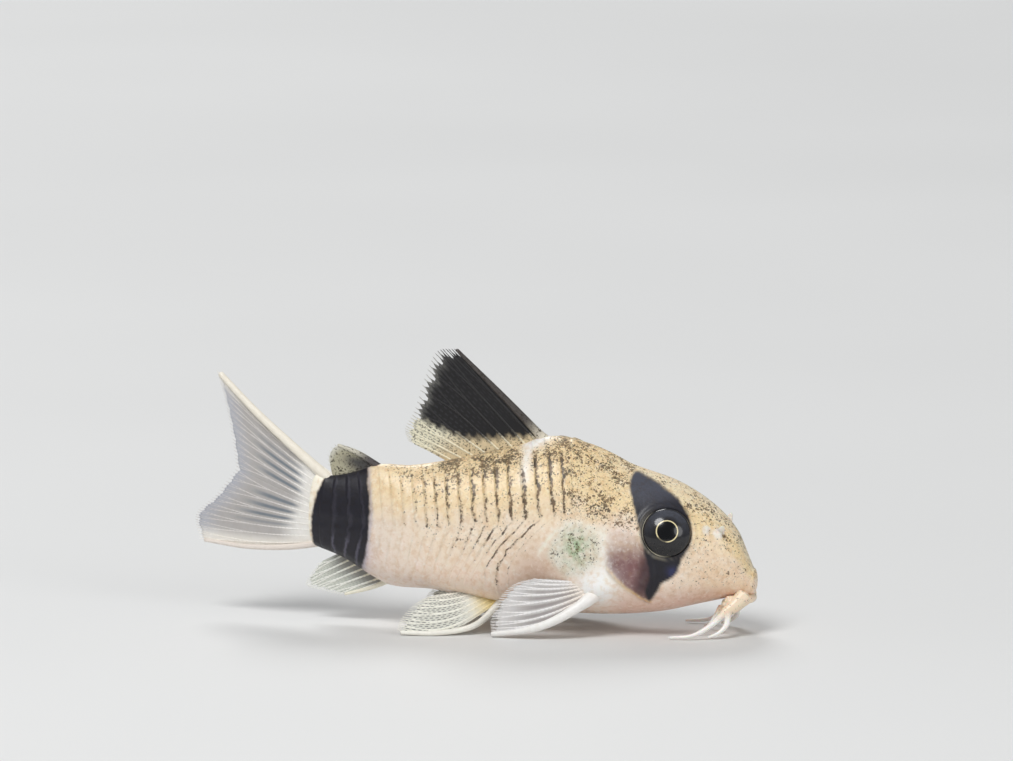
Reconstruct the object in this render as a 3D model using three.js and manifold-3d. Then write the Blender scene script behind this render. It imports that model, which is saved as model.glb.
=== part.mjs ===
// Panda corydoras, a small armoured catfish, life size, resting on its fins with the head low.
// Millimetres. +X points to the snout, +Y to the fish's left, +Z up, and the floor is z = 0.
import * as THREE from "three";
import { mergeVertices } from "three/addons/utils/BufferGeometryUtils.js";
import Module from "manifold-3d";

const wasm = await Module();
wasm.setup();

// Clearances and plate sizes
const GAP = 0.3;
const SCUTE_COUNT = 23;
const SCUTE_RISE = 0.2;
const SCUTE_STEP = 0.14;
const SCUTE_FRONT_X = 9.6;
const SCUTE_TAPER = 0.2;
const UPPER_LEAN = 0.1;
const LOWER_LEAN = 0.26;
const GILL_BULGE = 0.9;
const CAUDAL_BASE_BULGE = 0.75;
const TAIL_BEND = 0.008;
const TAIL_BEND_START = -5;

// Stations along the body: where the flank is cut, and the last ring before each end
const NOSE_X = 24.6;
const GILL_X = 13.1;
const PEDUNCLE_CUT_SCUTE = 13;
const TAIL_END_X = -14.2;

// Section shape: height of the widest level, and how square the upper and lower halves are
const WIDEST_LEVEL = 0.38;
const UPPER_SQUARENESS = 1.85;
const LOWER_SQUARENESS = 2.5;
const UPPER_COLUMNS = 5;
const LOWER_COLUMNS = 6;

// Eye, seen as a flattened ball set in the side of the head
const EYE = { x: 17.45, z: 9.2, radius: 2.25, depth: 1.45, sunk: 0.6 };

// Head details: ridge round the eye, raised plates of the cheek, nostrils and lips
const ORBIT = { clear: 0.2, thick: 0.38, stretch: 1.3, out: 0.5 };
const GILL_COVER = { x: 14.2, phi: -0.12, length: 1.9, spread: 0.75, rise: 0.2, rows: 3, sides: 14 };
const CHEEK_PLATE = { x: 17.6, phi: -0.35, length: 1.6, spread: 0.45, rise: 0.16, rows: 2, sides: 12 };
const NOSTRIL_FLAP = { x: 21.7, z: 9.2, out: 0.1, radii: [0.16, 0.5, 0.55], turn: 0.5 };
const NOSTRIL_PITS = { x: [21.25, 22.15], z: 9.15, out: 0.05, radii: [0.3, 0.4, 0.34] };
const LIPS = [{ reach: 24.5, z: 3.2, radius: 0.42 }, { reach: 22.9, z: 2.85, radius: 0.4 }];
const LIP_CORNER = { x: 22.6, y: 2.1 };
const MOUTH_OPENING = { centre: [23.65, 0, 2.8], radii: [0.42, 1.3, 0.6] };

// Fin blade sizes
const MEMBRANE = 0.5;
const RAY_RISE = 0.13;
const EDGE_THIN = 0.45;

// Outlines of the body in side view and its half width, each as [x, size]
const BACK_LINE = [[-14.2, 13.1], [-12.8, 12.95], [-10.4, 13.5], [-8.7, 14.1], [-5.9, 14.1],
  [-2, 14.75], [5.6, 16.55], [7.5, 16.95], [10.1, 16.4], [12, 15.7], [14, 14.7], [18.1, 13.25],
  [21.2, 11.3], [23.2, 9.1], [24.2, 6.8], [24.7, 5.6]];
const BELLY_LINE = [[-14.2, 6.6], [-11.9, 5.75], [-9.2, 4.2], [-7.4, 3.45], [-3, 3.25],
  [2.4, 2.5], [7.8, 1.7], [12.2, 1.55], [16.6, 1.9], [20.2, 2.7], [22.5, 3.2], [24.7, 3.5]];
const HALF_WIDTH = [[-14.6, 0.8], [-12.8, 1.4], [-10, 2.2], [-6.6, 3.2], [-3, 4], [0.4, 4.6],
  [4, 5.1], [8, 5.4], [11.5, 5.4], [14.7, 5], [17.4, 4.6], [20, 3.8], [21.9, 3.1],
  [23.5, 2.2], [24.7, 1.3]];
const MIDFLANK_LINE = [[-14.2, 9.1], [-6, 8.95], [-1.7, 9.5], [3.8, 10.2], [8.4, 10.8], [12.5, 10.6],
  [24.7, 5.2]];

// Smooth curve through stations given as [x, value], with x ascending
function profile(stations) {
  const slope = stations.map((_, i) => {
    const a = stations[Math.max(0, i - 1)];
    const b = stations[Math.min(stations.length - 1, i + 1)];
    return (b[1] - a[1]) / (b[0] - a[0]);
  });
  return (x) => {
    let i = 0;
    while (i < stations.length - 2 && x > stations[i + 1][0]) i += 1;
    const [x0, v0] = stations[i];
    const [x1, v1] = stations[i + 1];
    const span = x1 - x0;
    const t = (x - x0) / span;
    const t2 = t * t;
    const t3 = t2 * t;
    return v0 * (2 * t3 - 3 * t2 + 1) + slope[i] * span * (t3 - 2 * t2 + t)
      + v1 * (3 * t2 - 2 * t3) + slope[i + 1] * span * (t3 - t2);
  };
}

const backZ = profile(BACK_LINE);
const bellyZ = profile(BELLY_LINE);
const halfWidth = profile(HALF_WIDTH);
const midflankZ = profile(MIDFLANK_LINE);
const smooth = THREE.MathUtils.smoothstep;
const lerp = THREE.MathUtils.lerp;

// Sideways place of the body's middle plane, which curves away at the tail
function bendY(x) {
  return TAIL_BEND * Math.max(0, TAIL_BEND_START - x) ** 2;
}

// Point of the skin at station x, side -1 (right) or 1 (left), angle phi from the widest level,
// moved out by lift, as [y, z]
function sectionPoint(x, side, phi, lift) {
  const top = backZ(x);
  const bottom = bellyZ(x);
  const widest = lerp(bottom, top, WIDEST_LEVEL);
  const reach = phi > 0 ? top - widest : widest - bottom;
  const power = 2 / (phi > 0 ? UPPER_SQUARENESS : LOWER_SQUARENESS);
  const c = Math.max(0, Math.cos(phi));
  const s = Math.sin(phi);
  const half = halfWidth(x);
  const y = half * c ** power;
  const z = reach * Math.sign(s) * Math.abs(s) ** power;
  const ny = c ** (2 - power) / half;
  const nz = Math.sign(s) * Math.abs(s) ** (2 - power) / reach;
  const n = Math.hypot(ny, nz);
  return [side * (y + lift * ny / n), widest + z + lift * nz / n];
}

// Half breadth of the flank at station x and height z
function flankY(x, z) {
  const top = backZ(x);
  const bottom = bellyZ(x);
  const widest = lerp(bottom, top, WIDEST_LEVEL);
  const upper = z > widest;
  const n = upper ? UPPER_SQUARENESS : LOWER_SQUARENESS;
  const q = Math.abs(z - widest) / (upper ? top - widest : widest - bottom);
  return halfWidth(x) * Math.max(0, 1 - q ** n) ** (1 / n);
}

// Angle of the midflank line at station x
function midflankAngle(x) {
  const top = backZ(x);
  const widest = lerp(bellyZ(x), top, WIDEST_LEVEL);
  const q = THREE.MathUtils.clamp((midflankZ(x) - widest) / (top - widest), 0.02, 0.9);
  return Math.asin(q ** (UPPER_SQUARENESS / 2));
}

// Forward or backward slide of a ring at distance a (0 to 1) from the midflank line
function ringSlide(x, upper, a) {
  const height = backZ(x) - bellyZ(x);
  const plates = (1 - smooth(x, 6.5, 11.5)) * (1 - smooth(-x, 10.5, -TAIL_END_X));
  const sweep = Math.min(1, a * lerp(1.4, 3, smooth(x, -1, 6)));
  const lowerLean = LOWER_LEAN * lerp(0.38, 1, smooth(x, -8, 4)) * Math.sin((sweep * Math.PI) / 2);
  const chevron = height * (UPPER_LEAN * (upper ? 1 - a ** 1.2 : 1) - (upper ? 0 : lowerLean));
  const gill = smooth(x, 9.5, GILL_X) * (1 - smooth(x, GILL_X, GILL_X + 5));
  const root = smooth(-x, 10.5, -TAIL_END_X);
  return chevron * plates - (GILL_BULGE * gill + CAUDAL_BASE_BULGE * root) * (1 - a * a);
}

// One closed ring round the body: from the back down the right side and up the left side.
// lift is a function of (upper, a) that gives the outward rise of each column.
function bodyRing(x, lift) {
  const middle = midflankAngle(x);
  const quarter = Math.PI / 2;
  const column = (k) => {
    const upper = k <= UPPER_COLUMNS;
    const a = upper ? 1 - k / UPPER_COLUMNS : (k - UPPER_COLUMNS) / LOWER_COLUMNS;
    return { upper, a, phi: lerp(middle, upper ? quarter : -quarter, a) };
  };
  const place = (k, side) => {
    const { upper, a, phi } = column(k);
    const [y, z] = sectionPoint(x, side, phi, lift(upper, a));
    const slid = x + ringSlide(x, upper, a);
    return new THREE.Vector3(slid, y + bendY(slid), z);
  };
  const last = UPPER_COLUMNS + LOWER_COLUMNS;
  const ring = [];
  for (let k = 0; k <= last; k += 1) ring.push(place(k, -1));
  for (let k = last - 1; k > 0; k -= 1) ring.push(place(k, 1));
  return ring;
}

// Closed mesh data through rings of equal length, whose ends are filled left to right
function skinRings(rings) {
  const points = rings.flat();
  const size = rings[0].length;
  const faces = [];
  for (let r = 0; r + 1 < rings.length; r += 1) {
    for (let k = 0; k < size; k += 1) {
      const a = r * size + k;
      const b = r * size + (k + 1) % size;
      faces.push([a, b, b + size], [a, b + size, a + size]);
    }
  }
  const cap = (start, flip) => {
    const add = (i, j, k) => faces.push(flip ? [start + i, start + k, start + j]
      : [start + i, start + j, start + k]);
    add(0, size - 1, 1);
    for (let k = 1; k < size / 2 - 1; k += 1) {
      add(k, size - k, k + 1);
      add(k + 1, size - k, size - k - 1);
    }
    add(size / 2 - 1, size / 2 + 1, size / 2);
  };
  cap(0, false);
  cap((rings.length - 1) * size, true);
  return { points, faces };
}

// Solid from points and faces, turned so that its volume is positive
function solidOf({ points, faces }) {
  const volume = faces.reduce((sum, [a, b, c]) => sum
    + points[a].dot(new THREE.Vector3().crossVectors(points[b], points[c])), 0);
  const order = volume > 0 ? faces : faces.map(([a, b, c]) => [a, c, b]);
  const vertProperties = new Float32Array(points.flatMap((p) => [p.x, p.y, p.z]));
  const mesh = new wasm.Mesh({ numProp: 3, vertProperties, triVerts: new Uint32Array(order.flat()) });
  mesh.merge();
  return new wasm.Manifold(mesh);
}

// Solid from a three.js geometry, moved by a matrix
function solidFrom(geometry, matrix) {
  const bare = geometry.clone().applyMatrix4(matrix ?? new THREE.Matrix4());
  bare.deleteAttribute("normal");
  bare.deleteAttribute("uv");
  const merged = mergeVertices(bare, 1e-4);
  const position = merged.getAttribute("position");
  const points = [];
  for (let i = 0; i < position.count; i += 1) {
    points.push(new THREE.Vector3().fromBufferAttribute(position, i));
  }
  const faces = [];
  for (let i = 0; i < merged.index.count; i += 3) {
    const face = [0, 1, 2].map((k) => merged.index.getX(i + k));
    if (new Set(face).size === 3) faces.push(face);
  }
  return solidOf({ points, faces });
}

// Ball stretched to three radii, turned and placed
function ball(centre, radii, turn = new THREE.Euler(), rows = 8, sides = 12) {
  const matrix = new THREE.Matrix4().compose(centre, new THREE.Quaternion().setFromEuler(turn), radii);
  return solidFrom(new THREE.SphereGeometry(1, sides, rows), matrix);
}

// Round bar along a curve, with its radius given along the way
function bar(points, radius, steps = 8, sides = 6) {
  const curve = new THREE.CatmullRomCurve3(points, false, "centripetal");
  const frames = curve.computeFrenetFrames(steps);
  const rings = [];
  for (let i = 0; i <= steps; i += 1) {
    const centre = curve.getPointAt(i / steps);
    const ring = [];
    for (let k = 0; k < sides; k += 1) {
      const angle = (2 * Math.PI * k) / sides;
      ring.push(centre.clone()
        .addScaledVector(frames.normals[i], radius(i / steps) * Math.cos(angle))
        .addScaledVector(frames.binormals[i], radius(i / steps) * Math.sin(angle)));
    }
    rings.push(ring);
  }
  return solidOf(skinRings(rings));
}

// Plate on the skin: a rounded patch about station x and angle phi, its rim sunk in the skin
function plate(side, { x, phi, length, spread, rise, rows, sides }) {
  const sunk = -0.5;
  const place = (r, angle, lift) => {
    const px = x + length * r * Math.cos(angle);
    const [y, z] = sectionPoint(px, side, phi + spread * r * Math.sin(angle), lift);
    return new THREE.Vector3(px, y + bendY(px), z);
  };
  const rings = [];
  for (let r = rows; r >= 1; r -= 1) rings.push([r / rows, sunk]);
  const outer = Array.from({ length: rows }, (_, r) => [(r + 1) / rows, rise]);
  outer.push([1.04, -0.1]);
  const points = [place(0, 0, sunk), place(0, 0, rise)];
  const faces = [];
  const loops = [...rings.reverse(), ...outer.reverse()];
  loops.forEach(([r, lift]) => {
    for (let k = 0; k < sides; k += 1) points.push(place(r, (2 * Math.PI * k) / sides, lift));
  });
  for (let k = 0; k < sides; k += 1) {
    const next = (k + 1) % sides;
    faces.push([0, 2 + next, 2 + k]);
    for (let l = 0; l + 1 < loops.length; l += 1) {
      const a = 2 + l * sides;
      faces.push([a + k, a + next, a + sides + next], [a + k, a + sides + next, a + sides + k]);
    }
    const end = 2 + (loops.length - 1) * sides;
    faces.push([1, end + k, end + next]);
  }
  return solidOf({ points, faces });
}

// Largest closed surface of a solid
function largest(solid) {
  return solid.decompose().reduce((best, next) => (next.volume() > best.volume() ? next : best));
}

// Everything under the floor, taken off so that what rests there has a small flat
const underFloor = solidFrom(new THREE.BoxGeometry(120, 80, 20), new THREE.Matrix4()
  .makeTranslation(0, 0, -10));

// Stations of the scutes, closer together towards the tail
const scuteEdges = Array.from({ length: SCUTE_COUNT + 1 }, (_, i) => {
  const t = i / SCUTE_COUNT;
  const wobble = i % SCUTE_COUNT ? 0.05 * Math.sin(5 * i) : 0;
  return lerp(SCUTE_FRONT_X, TAIL_END_X, t * (1 + SCUTE_TAPER * (1 - t))) + wobble;
});

// Rise of a scute's rear edge: none on the dorsal ridge, in the midflank groove and on the belly,
// and none on the bare skin of the lower flank behind the gill
function scuteRise(x) {
  const lower = 1 - smooth(x, 4.5, 7);
  return (upper, a) => {
    if (upper) return a > 0 && a < 1 ? SCUTE_RISE : 0;
    return a > 0 && a < 0.7 ? SCUTE_RISE * lower : 0;
  };
}

const noLift = () => 0;

// Bony knob on the nape that the dorsal spine locks against
const NAPE_KNOB = { centre: new THREE.Vector3(5.7, 0, 16), radii: new THREE.Vector3(1.6, 0.8, 0.8) };

// Rings of the armoured length of the body from one scute edge to another
function armourRings(first, last, frontX) {
  const rings = [];
  for (let i = first; i < last; i += 1) {
    const front = i === first ? frontX : scuteEdges[i] - SCUTE_STEP;
    const rear = scuteEdges[i + 1];
    rings.push(bodyRing(front, noLift), bodyRing(rear, scuteRise(rear)));
  }
  return rings;
}

// Head and snout without its openings
function headLoft(grow) {
  const lift = () => grow;
  const stations = [GILL_X - grow, 14, 14.9, 15.9, 17, 18.2, 19.4, 20.5, 21.5, 22.4, 23.2, 23.8, 24.3];
  const rings = stations.map((x) => bodyRing(x, lift));
  const blunt = bodyRing(NOSE_X, lift);
  const centre = blunt.reduce((sum, p) => sum.add(p), new THREE.Vector3())
    .divideScalar(blunt.length);
  [[1, 0], [0.82, 0.18], [0.5, 0.32]].forEach(([scale, forward]) => {
    rings.push(blunt.map((p) => p.clone().lerp(centre, 1 - scale)
      .add(new THREE.Vector3(forward * (1 + grow), 0, 0))));
  });
  return solidOf(skinRings(rings));
}

// Smooth copy of the whole body, grown on all sides, that fins are cut clear of
function grownBody(grow) {
  const rings = [];
  for (let i = 0; i <= 26; i += 1) {
    rings.push(bodyRing(lerp(TAIL_END_X - grow, GILL_X + 1, i / 26), () => grow));
  }
  return solidOf(skinRings(rings)).add(headLoft(grow));
}

const clearBody = grownBody(GAP + SCUTE_RISE / 2);

// Place and tilt of an eye: side is -1 on the right and 1 on the left
function eyePlace(side) {
  const out = flankY(EYE.x, EYE.z) - EYE.sunk;
  return {
    centre: new THREE.Vector3(EYE.x, side * out, EYE.z),
    turn: new THREE.Euler(side * 0.3, 0, -side * 0.2),
  };
}

function eyeBall(side, grow, rows, sides) {
  const { centre, turn } = eyePlace(side);
  const radii = new THREE.Vector3(EYE.radius + grow, EYE.radius + grow, EYE.depth + grow);
  const upright = new THREE.Quaternion().setFromEuler(turn)
    .multiply(new THREE.Quaternion().setFromAxisAngle(new THREE.Vector3(1, 0, 0), Math.PI / 2));
  return ball(centre, radii, new THREE.Euler().setFromQuaternion(upright), rows, sides);
}

// Soft ridge round an eye socket
function orbitRim(side) {
  const { centre, turn } = eyePlace(side);
  const out = new THREE.Vector3(0, side * ORBIT.out, 0).applyEuler(turn);
  const stand = new THREE.Quaternion().setFromEuler(turn)
    .multiply(new THREE.Quaternion().setFromAxisAngle(new THREE.Vector3(1, 0, 0), Math.PI / 2));
  const stretch = new THREE.Vector3(1, 1, ORBIT.stretch);
  const matrix = new THREE.Matrix4().compose(centre.add(out), stand, stretch);
  return solidFrom(new THREE.TorusGeometry(EYE.radius + ORBIT.clear, ORBIT.thick, 6, 18), matrix);
}

// Fleshy stalk that runs from the upper lip down to the corner of the mouth, where barbels start
const STALK = { path: [[24, 1.5, 3.5], [23.3, 2.2, 2.8], [22.5, 2.75, 2.2]], thick: 0.8, thin: 0.45 };

function mouthStalk(side, grow) {
  const path = STALK.path.map(([x, y, z]) => new THREE.Vector3(x, side * y, z));
  const end = new THREE.Vector3(STALK.thin + grow, STALK.thin + grow, STALK.thin + grow);
  return bar(path, (t) => lerp(STALK.thick, STALK.thin, t) + grow, 5, 8)
    .add(ball(path[2], end, new THREE.Euler(), 6, 8));
}

// Lip: a bar that runs round the front of the mouth from corner to corner
function lipBar({ reach, z, radius }) {
  const { x, y } = LIP_CORNER;
  const path = [[x, -y], [reach - 0.5, -1.3], [reach, 0], [reach - 0.5, 1.3], [x, y]];
  return bar(path.map(([px, py]) => new THREE.Vector3(px, py, z)), () => radius, 10, 6);
}

function headSolid() {
  let head = headLoft(0);
  for (const side of [-1, 1]) {
    head = head.add(orbitRim(side)).add(mouthStalk(side, 0));
    head = head.add(plate(side, GILL_COVER)).add(plate(side, CHEEK_PLATE));
    const { x, z, out, radii, turn } = NOSTRIL_FLAP;
    const root = new THREE.Vector3(x, side * (flankY(x, z) + out), z);
    const tilt = new THREE.Euler(0, 0, -side * turn);
    head = head.add(ball(root, new THREE.Vector3(...radii), tilt, 6, 8));
  }
  LIPS.forEach((lip) => {
    head = head.add(lipBar(lip));
  });
  head = head.subtract(ball(new THREE.Vector3(...MOUTH_OPENING.centre),
    new THREE.Vector3(...MOUTH_OPENING.radii)));
  for (const side of [-1, 1]) {
    head = head.subtract(eyeBall(side, GAP, 8, 14));
    for (const x of NOSTRIL_PITS.x) {
      const out = flankY(x, NOSTRIL_PITS.z) + NOSTRIL_PITS.out;
      head = head.subtract(ball(new THREE.Vector3(x, side * out, NOSTRIL_PITS.z),
        new THREE.Vector3(...NOSTRIL_PITS.radii), new THREE.Euler(), 5, 7));
    }
  }
  return largest(head);
}

function torsoSolid() {
  const shoulder = [GILL_X - GAP, 11.6, 10.1].map((x) => bodyRing(x, noLift));
  const armour = armourRings(0, PEDUNCLE_CUT_SCUTE, SCUTE_FRONT_X);
  let torso = solidOf(skinRings([...shoulder, ...armour]));
  torso = torso.add(ball(NAPE_KNOB.centre, NAPE_KNOB.radii));
  return largest(torso);
}

function peduncleSolid() {
  const front = scuteEdges[PEDUNCLE_CUT_SCUTE] - GAP;
  return solidOf(skinRings(armourRings(PEDUNCLE_CUT_SCUTE, SCUTE_COUNT, front)));
}

// Fin blade: rays run from a root line to a margin line, and stand up as ridges on both faces.
// Each ray forks at half length, and the membrane is cut back a little between the tips.
function finBlade({ roots, margin, rays, rows = 5, bow, notch = 0.06, lead = 0, thick = MEMBRANE }) {
  const rootLine = new THREE.CatmullRomCurve3(roots, false, "centripetal");
  const marginLine = new THREE.CatmullRomCurve3(margin, false, "centripetal");
  const columns = 4 * rays;
  const surface = (s, u) => {
    const p = rootLine.getPoint(s).lerp(marginLine.getPoint(s), u);
    return bow ? p.add(bow(s, u)) : p;
  };
  const normalAt = (s, u) => {
    const e = 0.01;
    const s0 = Math.max(0, s - e);
    const s1 = Math.min(1, s + e);
    const u0 = Math.max(0, u - e);
    const u1 = Math.min(1, u + e);
    const across = surface(s1, u).sub(surface(s0, u));
    const along = surface(s, u1).sub(surface(s, u0));
    return across.cross(along).normalize();
  };
  const front = [];
  const back = [];
  for (let j = 0; j <= columns; j += 1) {
    const kind = j % 4;
    const membrane = kind === 0 && j > 0 && j < columns;
    for (let i = 0; i <= rows; i += 1) {
      const t = i / rows;
      const fork = lerp(0.42, 0.24, smooth(t, 0.35, 1));
      const offset = { 0: 0, 1: fork, 2: 0.5, 3: 1 - fork }[kind];
      const s = (Math.floor(j / 4) + offset) / rays;
      const reach = membrane ? 1 - notch * smooth(t, 0.5, 1) : 1;
      const u = t * reach;
      const crest = kind === 1 || kind === 3 ? RAY_RISE : 0;
      const valley = kind === 2 ? RAY_RISE * (1 - smooth(t, 0.35, 0.7)) : 0;
      const rim = lerp(1, EDGE_THIN, smooth(t, 0.3, 1));
      const half = (thick / 2 + crest + valley + lead * (1 - s)) * rim;
      const p = surface(s, u);
      const n = normalAt(s, Math.min(u, 0.98));
      front.push(p.clone().addScaledVector(n, half));
      back.push(p.clone().addScaledVector(n, -half));
    }
  }
  const points = [...front, ...back];
  const size = rows + 1;
  const other = front.length;
  const faces = [];
  for (let j = 0; j < columns; j += 1) {
    for (let i = 0; i < rows; i += 1) {
      const a = j * size + i;
      faces.push([a, a + size, a + size + 1], [a, a + size + 1, a + 1]);
      faces.push([other + a, other + a + size + 1, other + a + size]);
      faces.push([other + a, other + a + 1, other + a + size + 1]);
    }
    for (const i of [0, rows]) {
      const a = j * size + i;
      const b = a + size;
      faces.push(...(i ? [[a, b, other + b], [a, other + b, other + a]]
        : [[a, other + b, b], [a, other + a, other + b]]));
    }
  }
  for (let i = 0; i < rows; i += 1) {
    const a = i;
    const b = columns * size + i;
    faces.push([a, a + 1, other + a + 1], [a, other + a + 1, other + a]);
    faces.push([b, other + b + 1, b + 1], [b, other + b, other + b + 1]);
  }
  return solidOf({ points, faces });
}

// Point in the fish's middle plane, which follows the bend of the tail
function mid(x, z) {
  return new THREE.Vector3(x, bendY(x), z);
}

function cutClear(solid) {
  return largest(solid.subtract(clearBody).subtract(underFloor));
}

// Dorsal fin: spine in front, seven branched rays, jagged trailing edge
function dorsalFin() {
  const blade = finBlade({
    roots: [mid(6.9, 15.7), mid(2.4, 14.7), mid(-1.7, 14)],
    margin: [mid(-1.6, 24.3), mid(-3.2, 24.1), mid(-4.3, 21.9), mid(-5.3, 18.8), mid(-6.1, 17.2),
      mid(-5.8, 16.1)],
    rays: 8,
    rows: 6,
    notch: 0.09,
    bow: (s, u) => new THREE.Vector3(0, 0.35 * Math.sin(Math.PI * u) * s, 0),
  });
  const spine = bar([mid(7, 15.7), mid(2.7, 20.1), mid(-1.7, 24.4)], (t) => lerp(0.5, 0.22, t));
  return cutClear(blade.add(spine));
}

// Adipose fin: one short spine with a plain membrane behind it
function adiposeFin() {
  const blade = finBlade({
    roots: [mid(-8.3, 13.5), mid(-12.7, 12.2)],
    margin: [mid(-11.3, 15.2), mid(-12.6, 15.5), mid(-13.2, 14.6), mid(-13.1, 13.6)],
    rays: 2,
    rows: 3,
    notch: 0,
  });
  const spine = bar([mid(-8.3, 13.6), mid(-10.6, 15), mid(-12.4, 15.65)],
    (t) => lerp(0.42, 0.22, t), 5, 6);
  return cutClear(blade.add(spine));
}

// Upper and lower lobes of the forked tail fin, parted along the middle ray
function caudalLobe(upper) {
  const blade = upper ? finBlade({
    roots: [mid(-12.4, 12.8), mid(-13.3, 11.6), mid(-13.8, 9.95)],
    margin: [mid(-23.6, 21.6), mid(-22.9, 19.3), mid(-22.2, 16.2), mid(-21.7, 13.2)],
    rays: 7,
    rows: 6,
    lead: 0.1,
    bow: (s, u) => new THREE.Vector3(0, 0, -0.55 * Math.sin(Math.PI * u) * (1 - s)),
  }) : finBlade({
    roots: [mid(-13.8, 9.65), mid(-13.9, 8.4), mid(-13.2, 6.9)],
    margin: [mid(-21.7, 12.8), mid(-23.7, 10.5), mid(-25.6, 8.6), mid(-25.2, 6.4)],
    rays: 7,
    rows: 6,
    bow: (s, u) => new THREE.Vector3(0, 0, -0.45 * Math.sin(Math.PI * u) * s),
  });
  return cutClear(blade);
}

function analFin() {
  const blade = finBlade({
    roots: [mid(-7.4, 4.1), mid(-9.3, 5.5), mid(-11.2, 6.6)],
    margin: [mid(-11.9, 2.4), mid(-14, 2.8), mid(-15.2, 3.2), mid(-14, 5.2)],
    rays: 6,
    rows: 4,
  });
  const spine = bar([mid(-7.3, 4), mid(-9.4, 3.1), mid(-11.8, 2.4)], (t) => lerp(0.4, 0.2, t), 5, 6);
  return cutClear(blade.add(spine));
}

const flip = (side) => (x, y, z) => new THREE.Vector3(x, side * y, z);

// Pectoral fin: a strong spine that reaches the floor and rays that fan out behind it
function pectoralFin(side) {
  const at = flip(side);
  const blade = finBlade({
    roots: [at(11.9, 4.6, 3.9), at(11.3, 4.5, 4.5), at(10.6, 4.4, 4.9)],
    margin: [at(2.7, 6.1, 0.45), at(2.7, 6.5, 1.6), at(3.6, 6.8, 3.7), at(4.9, 6.9, 4.9),
      at(6.6, 6.6, 5.4)],
    rays: 8,
    rows: 5,
    notch: 0.05,
    bow: (s, u) => new THREE.Vector3(0, side * 1.15, -0.8).multiplyScalar(Math.sin(Math.PI * u) * (1 - s)),
  });
  const spine = bar([at(12.2, 4.2, 4), at(10, 6.1, 2.7), at(6.8, 6.5, 1.1), at(2.5, 6, 0.26)],
    (t) => lerp(0.62, 0.3, t), 7, 6);
  return cutClear(blade.add(spine));
}

// Pelvic fin: held out flat, its leading ray bowed down to the floor
function pelvicFin(side) {
  const at = flip(side);
  const blade = finBlade({
    roots: [at(2.9, 2.6, 3), at(2, 2.3, 3.5), at(1, 1.9, 3.9)],
    margin: [at(-5.6, 6.5, 0.4), at(-5.4, 6.1, 1.3), at(-4.7, 5.3, 2.2), at(-4, 4.5, 2.8),
      at(-3.1, 3.2, 3.1)],
    rays: 6,
    rows: 5,
    bow: (s, u) => new THREE.Vector3(0, side * 1.1, -1.3).multiplyScalar(Math.sin(Math.PI * u) * (1 - s)),
  });
  const ray = bar([at(2.9, 2.7, 2.9), at(0.8, 4.7, 0.85), at(-2.4, 6.1, 0.2), at(-5.5, 6.5, 0.26)],
    (t) => lerp(0.42, 0.25, t), 7, 6);
  return cutClear(blade.add(ray));
}

// Barbels: each runs from the mouth corner down and back, and its tip lies on the floor
const BARBELS = {
  upper: [[22.4, 2.85, 2.2], [21.4, 3.9, 1.2], [19.9, 4.5, 0.4], [17.9, 4.7, 0.16]],
  lower: [[22.9, 2.8, 2], [22.7, 3.2, 1.2], [22.1, 3.6, 0.55], [21.2, 3.9, 0.18]],
  chin: [[22, 1.3, 2.5], [21.5, 1.6, 1.6], [20.8, 1.8, 0.7], [20, 2, 0.18]],
};

function barbel(name, side) {
  const at = flip(side);
  const path = BARBELS[name].map((p) => at(...p));
  const rod = bar(path, (t) => lerp(0.32, 0.17, t), 9, 6);
  return largest(rod.subtract(mouthStalk(side, GAP)).subtract(headLoft(GAP)).subtract(underFloor));
}

// Mesh named after its sub-part, from a finished solid
function meshOf(name, solid, colour, roughness = 0.45) {
  const { numProp, vertProperties, triVerts } = solid.getMesh();
  const positions = new Float32Array((vertProperties.length / numProp) * 3);
  for (let i = 0; i < positions.length / 3; i += 1) {
    for (let k = 0; k < 3; k += 1) positions[3 * i + k] = vertProperties[numProp * i + k];
  }
  const geometry = new THREE.BufferGeometry();
  geometry.setAttribute("position", new THREE.BufferAttribute(positions, 3));
  geometry.setIndex(Array.from(triVerts));
  geometry.computeVertexNormals();
  const material = new THREE.MeshStandardMaterial({ color: colour, roughness, metalness: 0 });
  const mesh = new THREE.Mesh(geometry, material);
  mesh.name = name;
  return mesh;
}

const group = new THREE.Group();
group.add(meshOf("head", headSolid(), 0x6a574c));
group.add(meshOf("torso", torsoSolid(), 0xc7ab8c));
group.add(meshOf("tail_peduncle", peduncleSolid(), 0xb59a80));
group.add(meshOf("dorsal_fin", dorsalFin(), 0x4a423c, 0.5));
group.add(meshOf("adipose_fin", adiposeFin(), 0x8f857b, 0.5));
group.add(meshOf("caudal_fin_upper", caudalLobe(true), 0xe3d8c8, 0.5));
group.add(meshOf("caudal_fin_lower", caudalLobe(false), 0xe3d8c8, 0.5));
group.add(meshOf("anal_fin", analFin(), 0xe0d2bf, 0.5));
for (const [side, label] of [[-1, "right"], [1, "left"]]) {
  group.add(meshOf(`eye_${label}`, largest(eyeBall(side, 0, 10, 16)), 0x15161a, 0.12));
  group.add(meshOf(`pectoral_fin_${label}`, pectoralFin(side), 0xe8e0d4, 0.5));
  group.add(meshOf(`pelvic_fin_${label}`, pelvicFin(side), 0xe6d9bd, 0.5));
  for (const name of ["upper", "lower", "chin"]) {
    group.add(meshOf(`barbel_${name}_${label}`, barbel(name, side), 0xe2c7b4, 0.5));
  }
}

export default group;
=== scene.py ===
import math

import bmesh
import bpy
import numpy as np
from bpy.props import FloatProperty, FloatVectorProperty, IntProperty, PointerProperty
from mathutils import Matrix, Vector, noise


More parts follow.
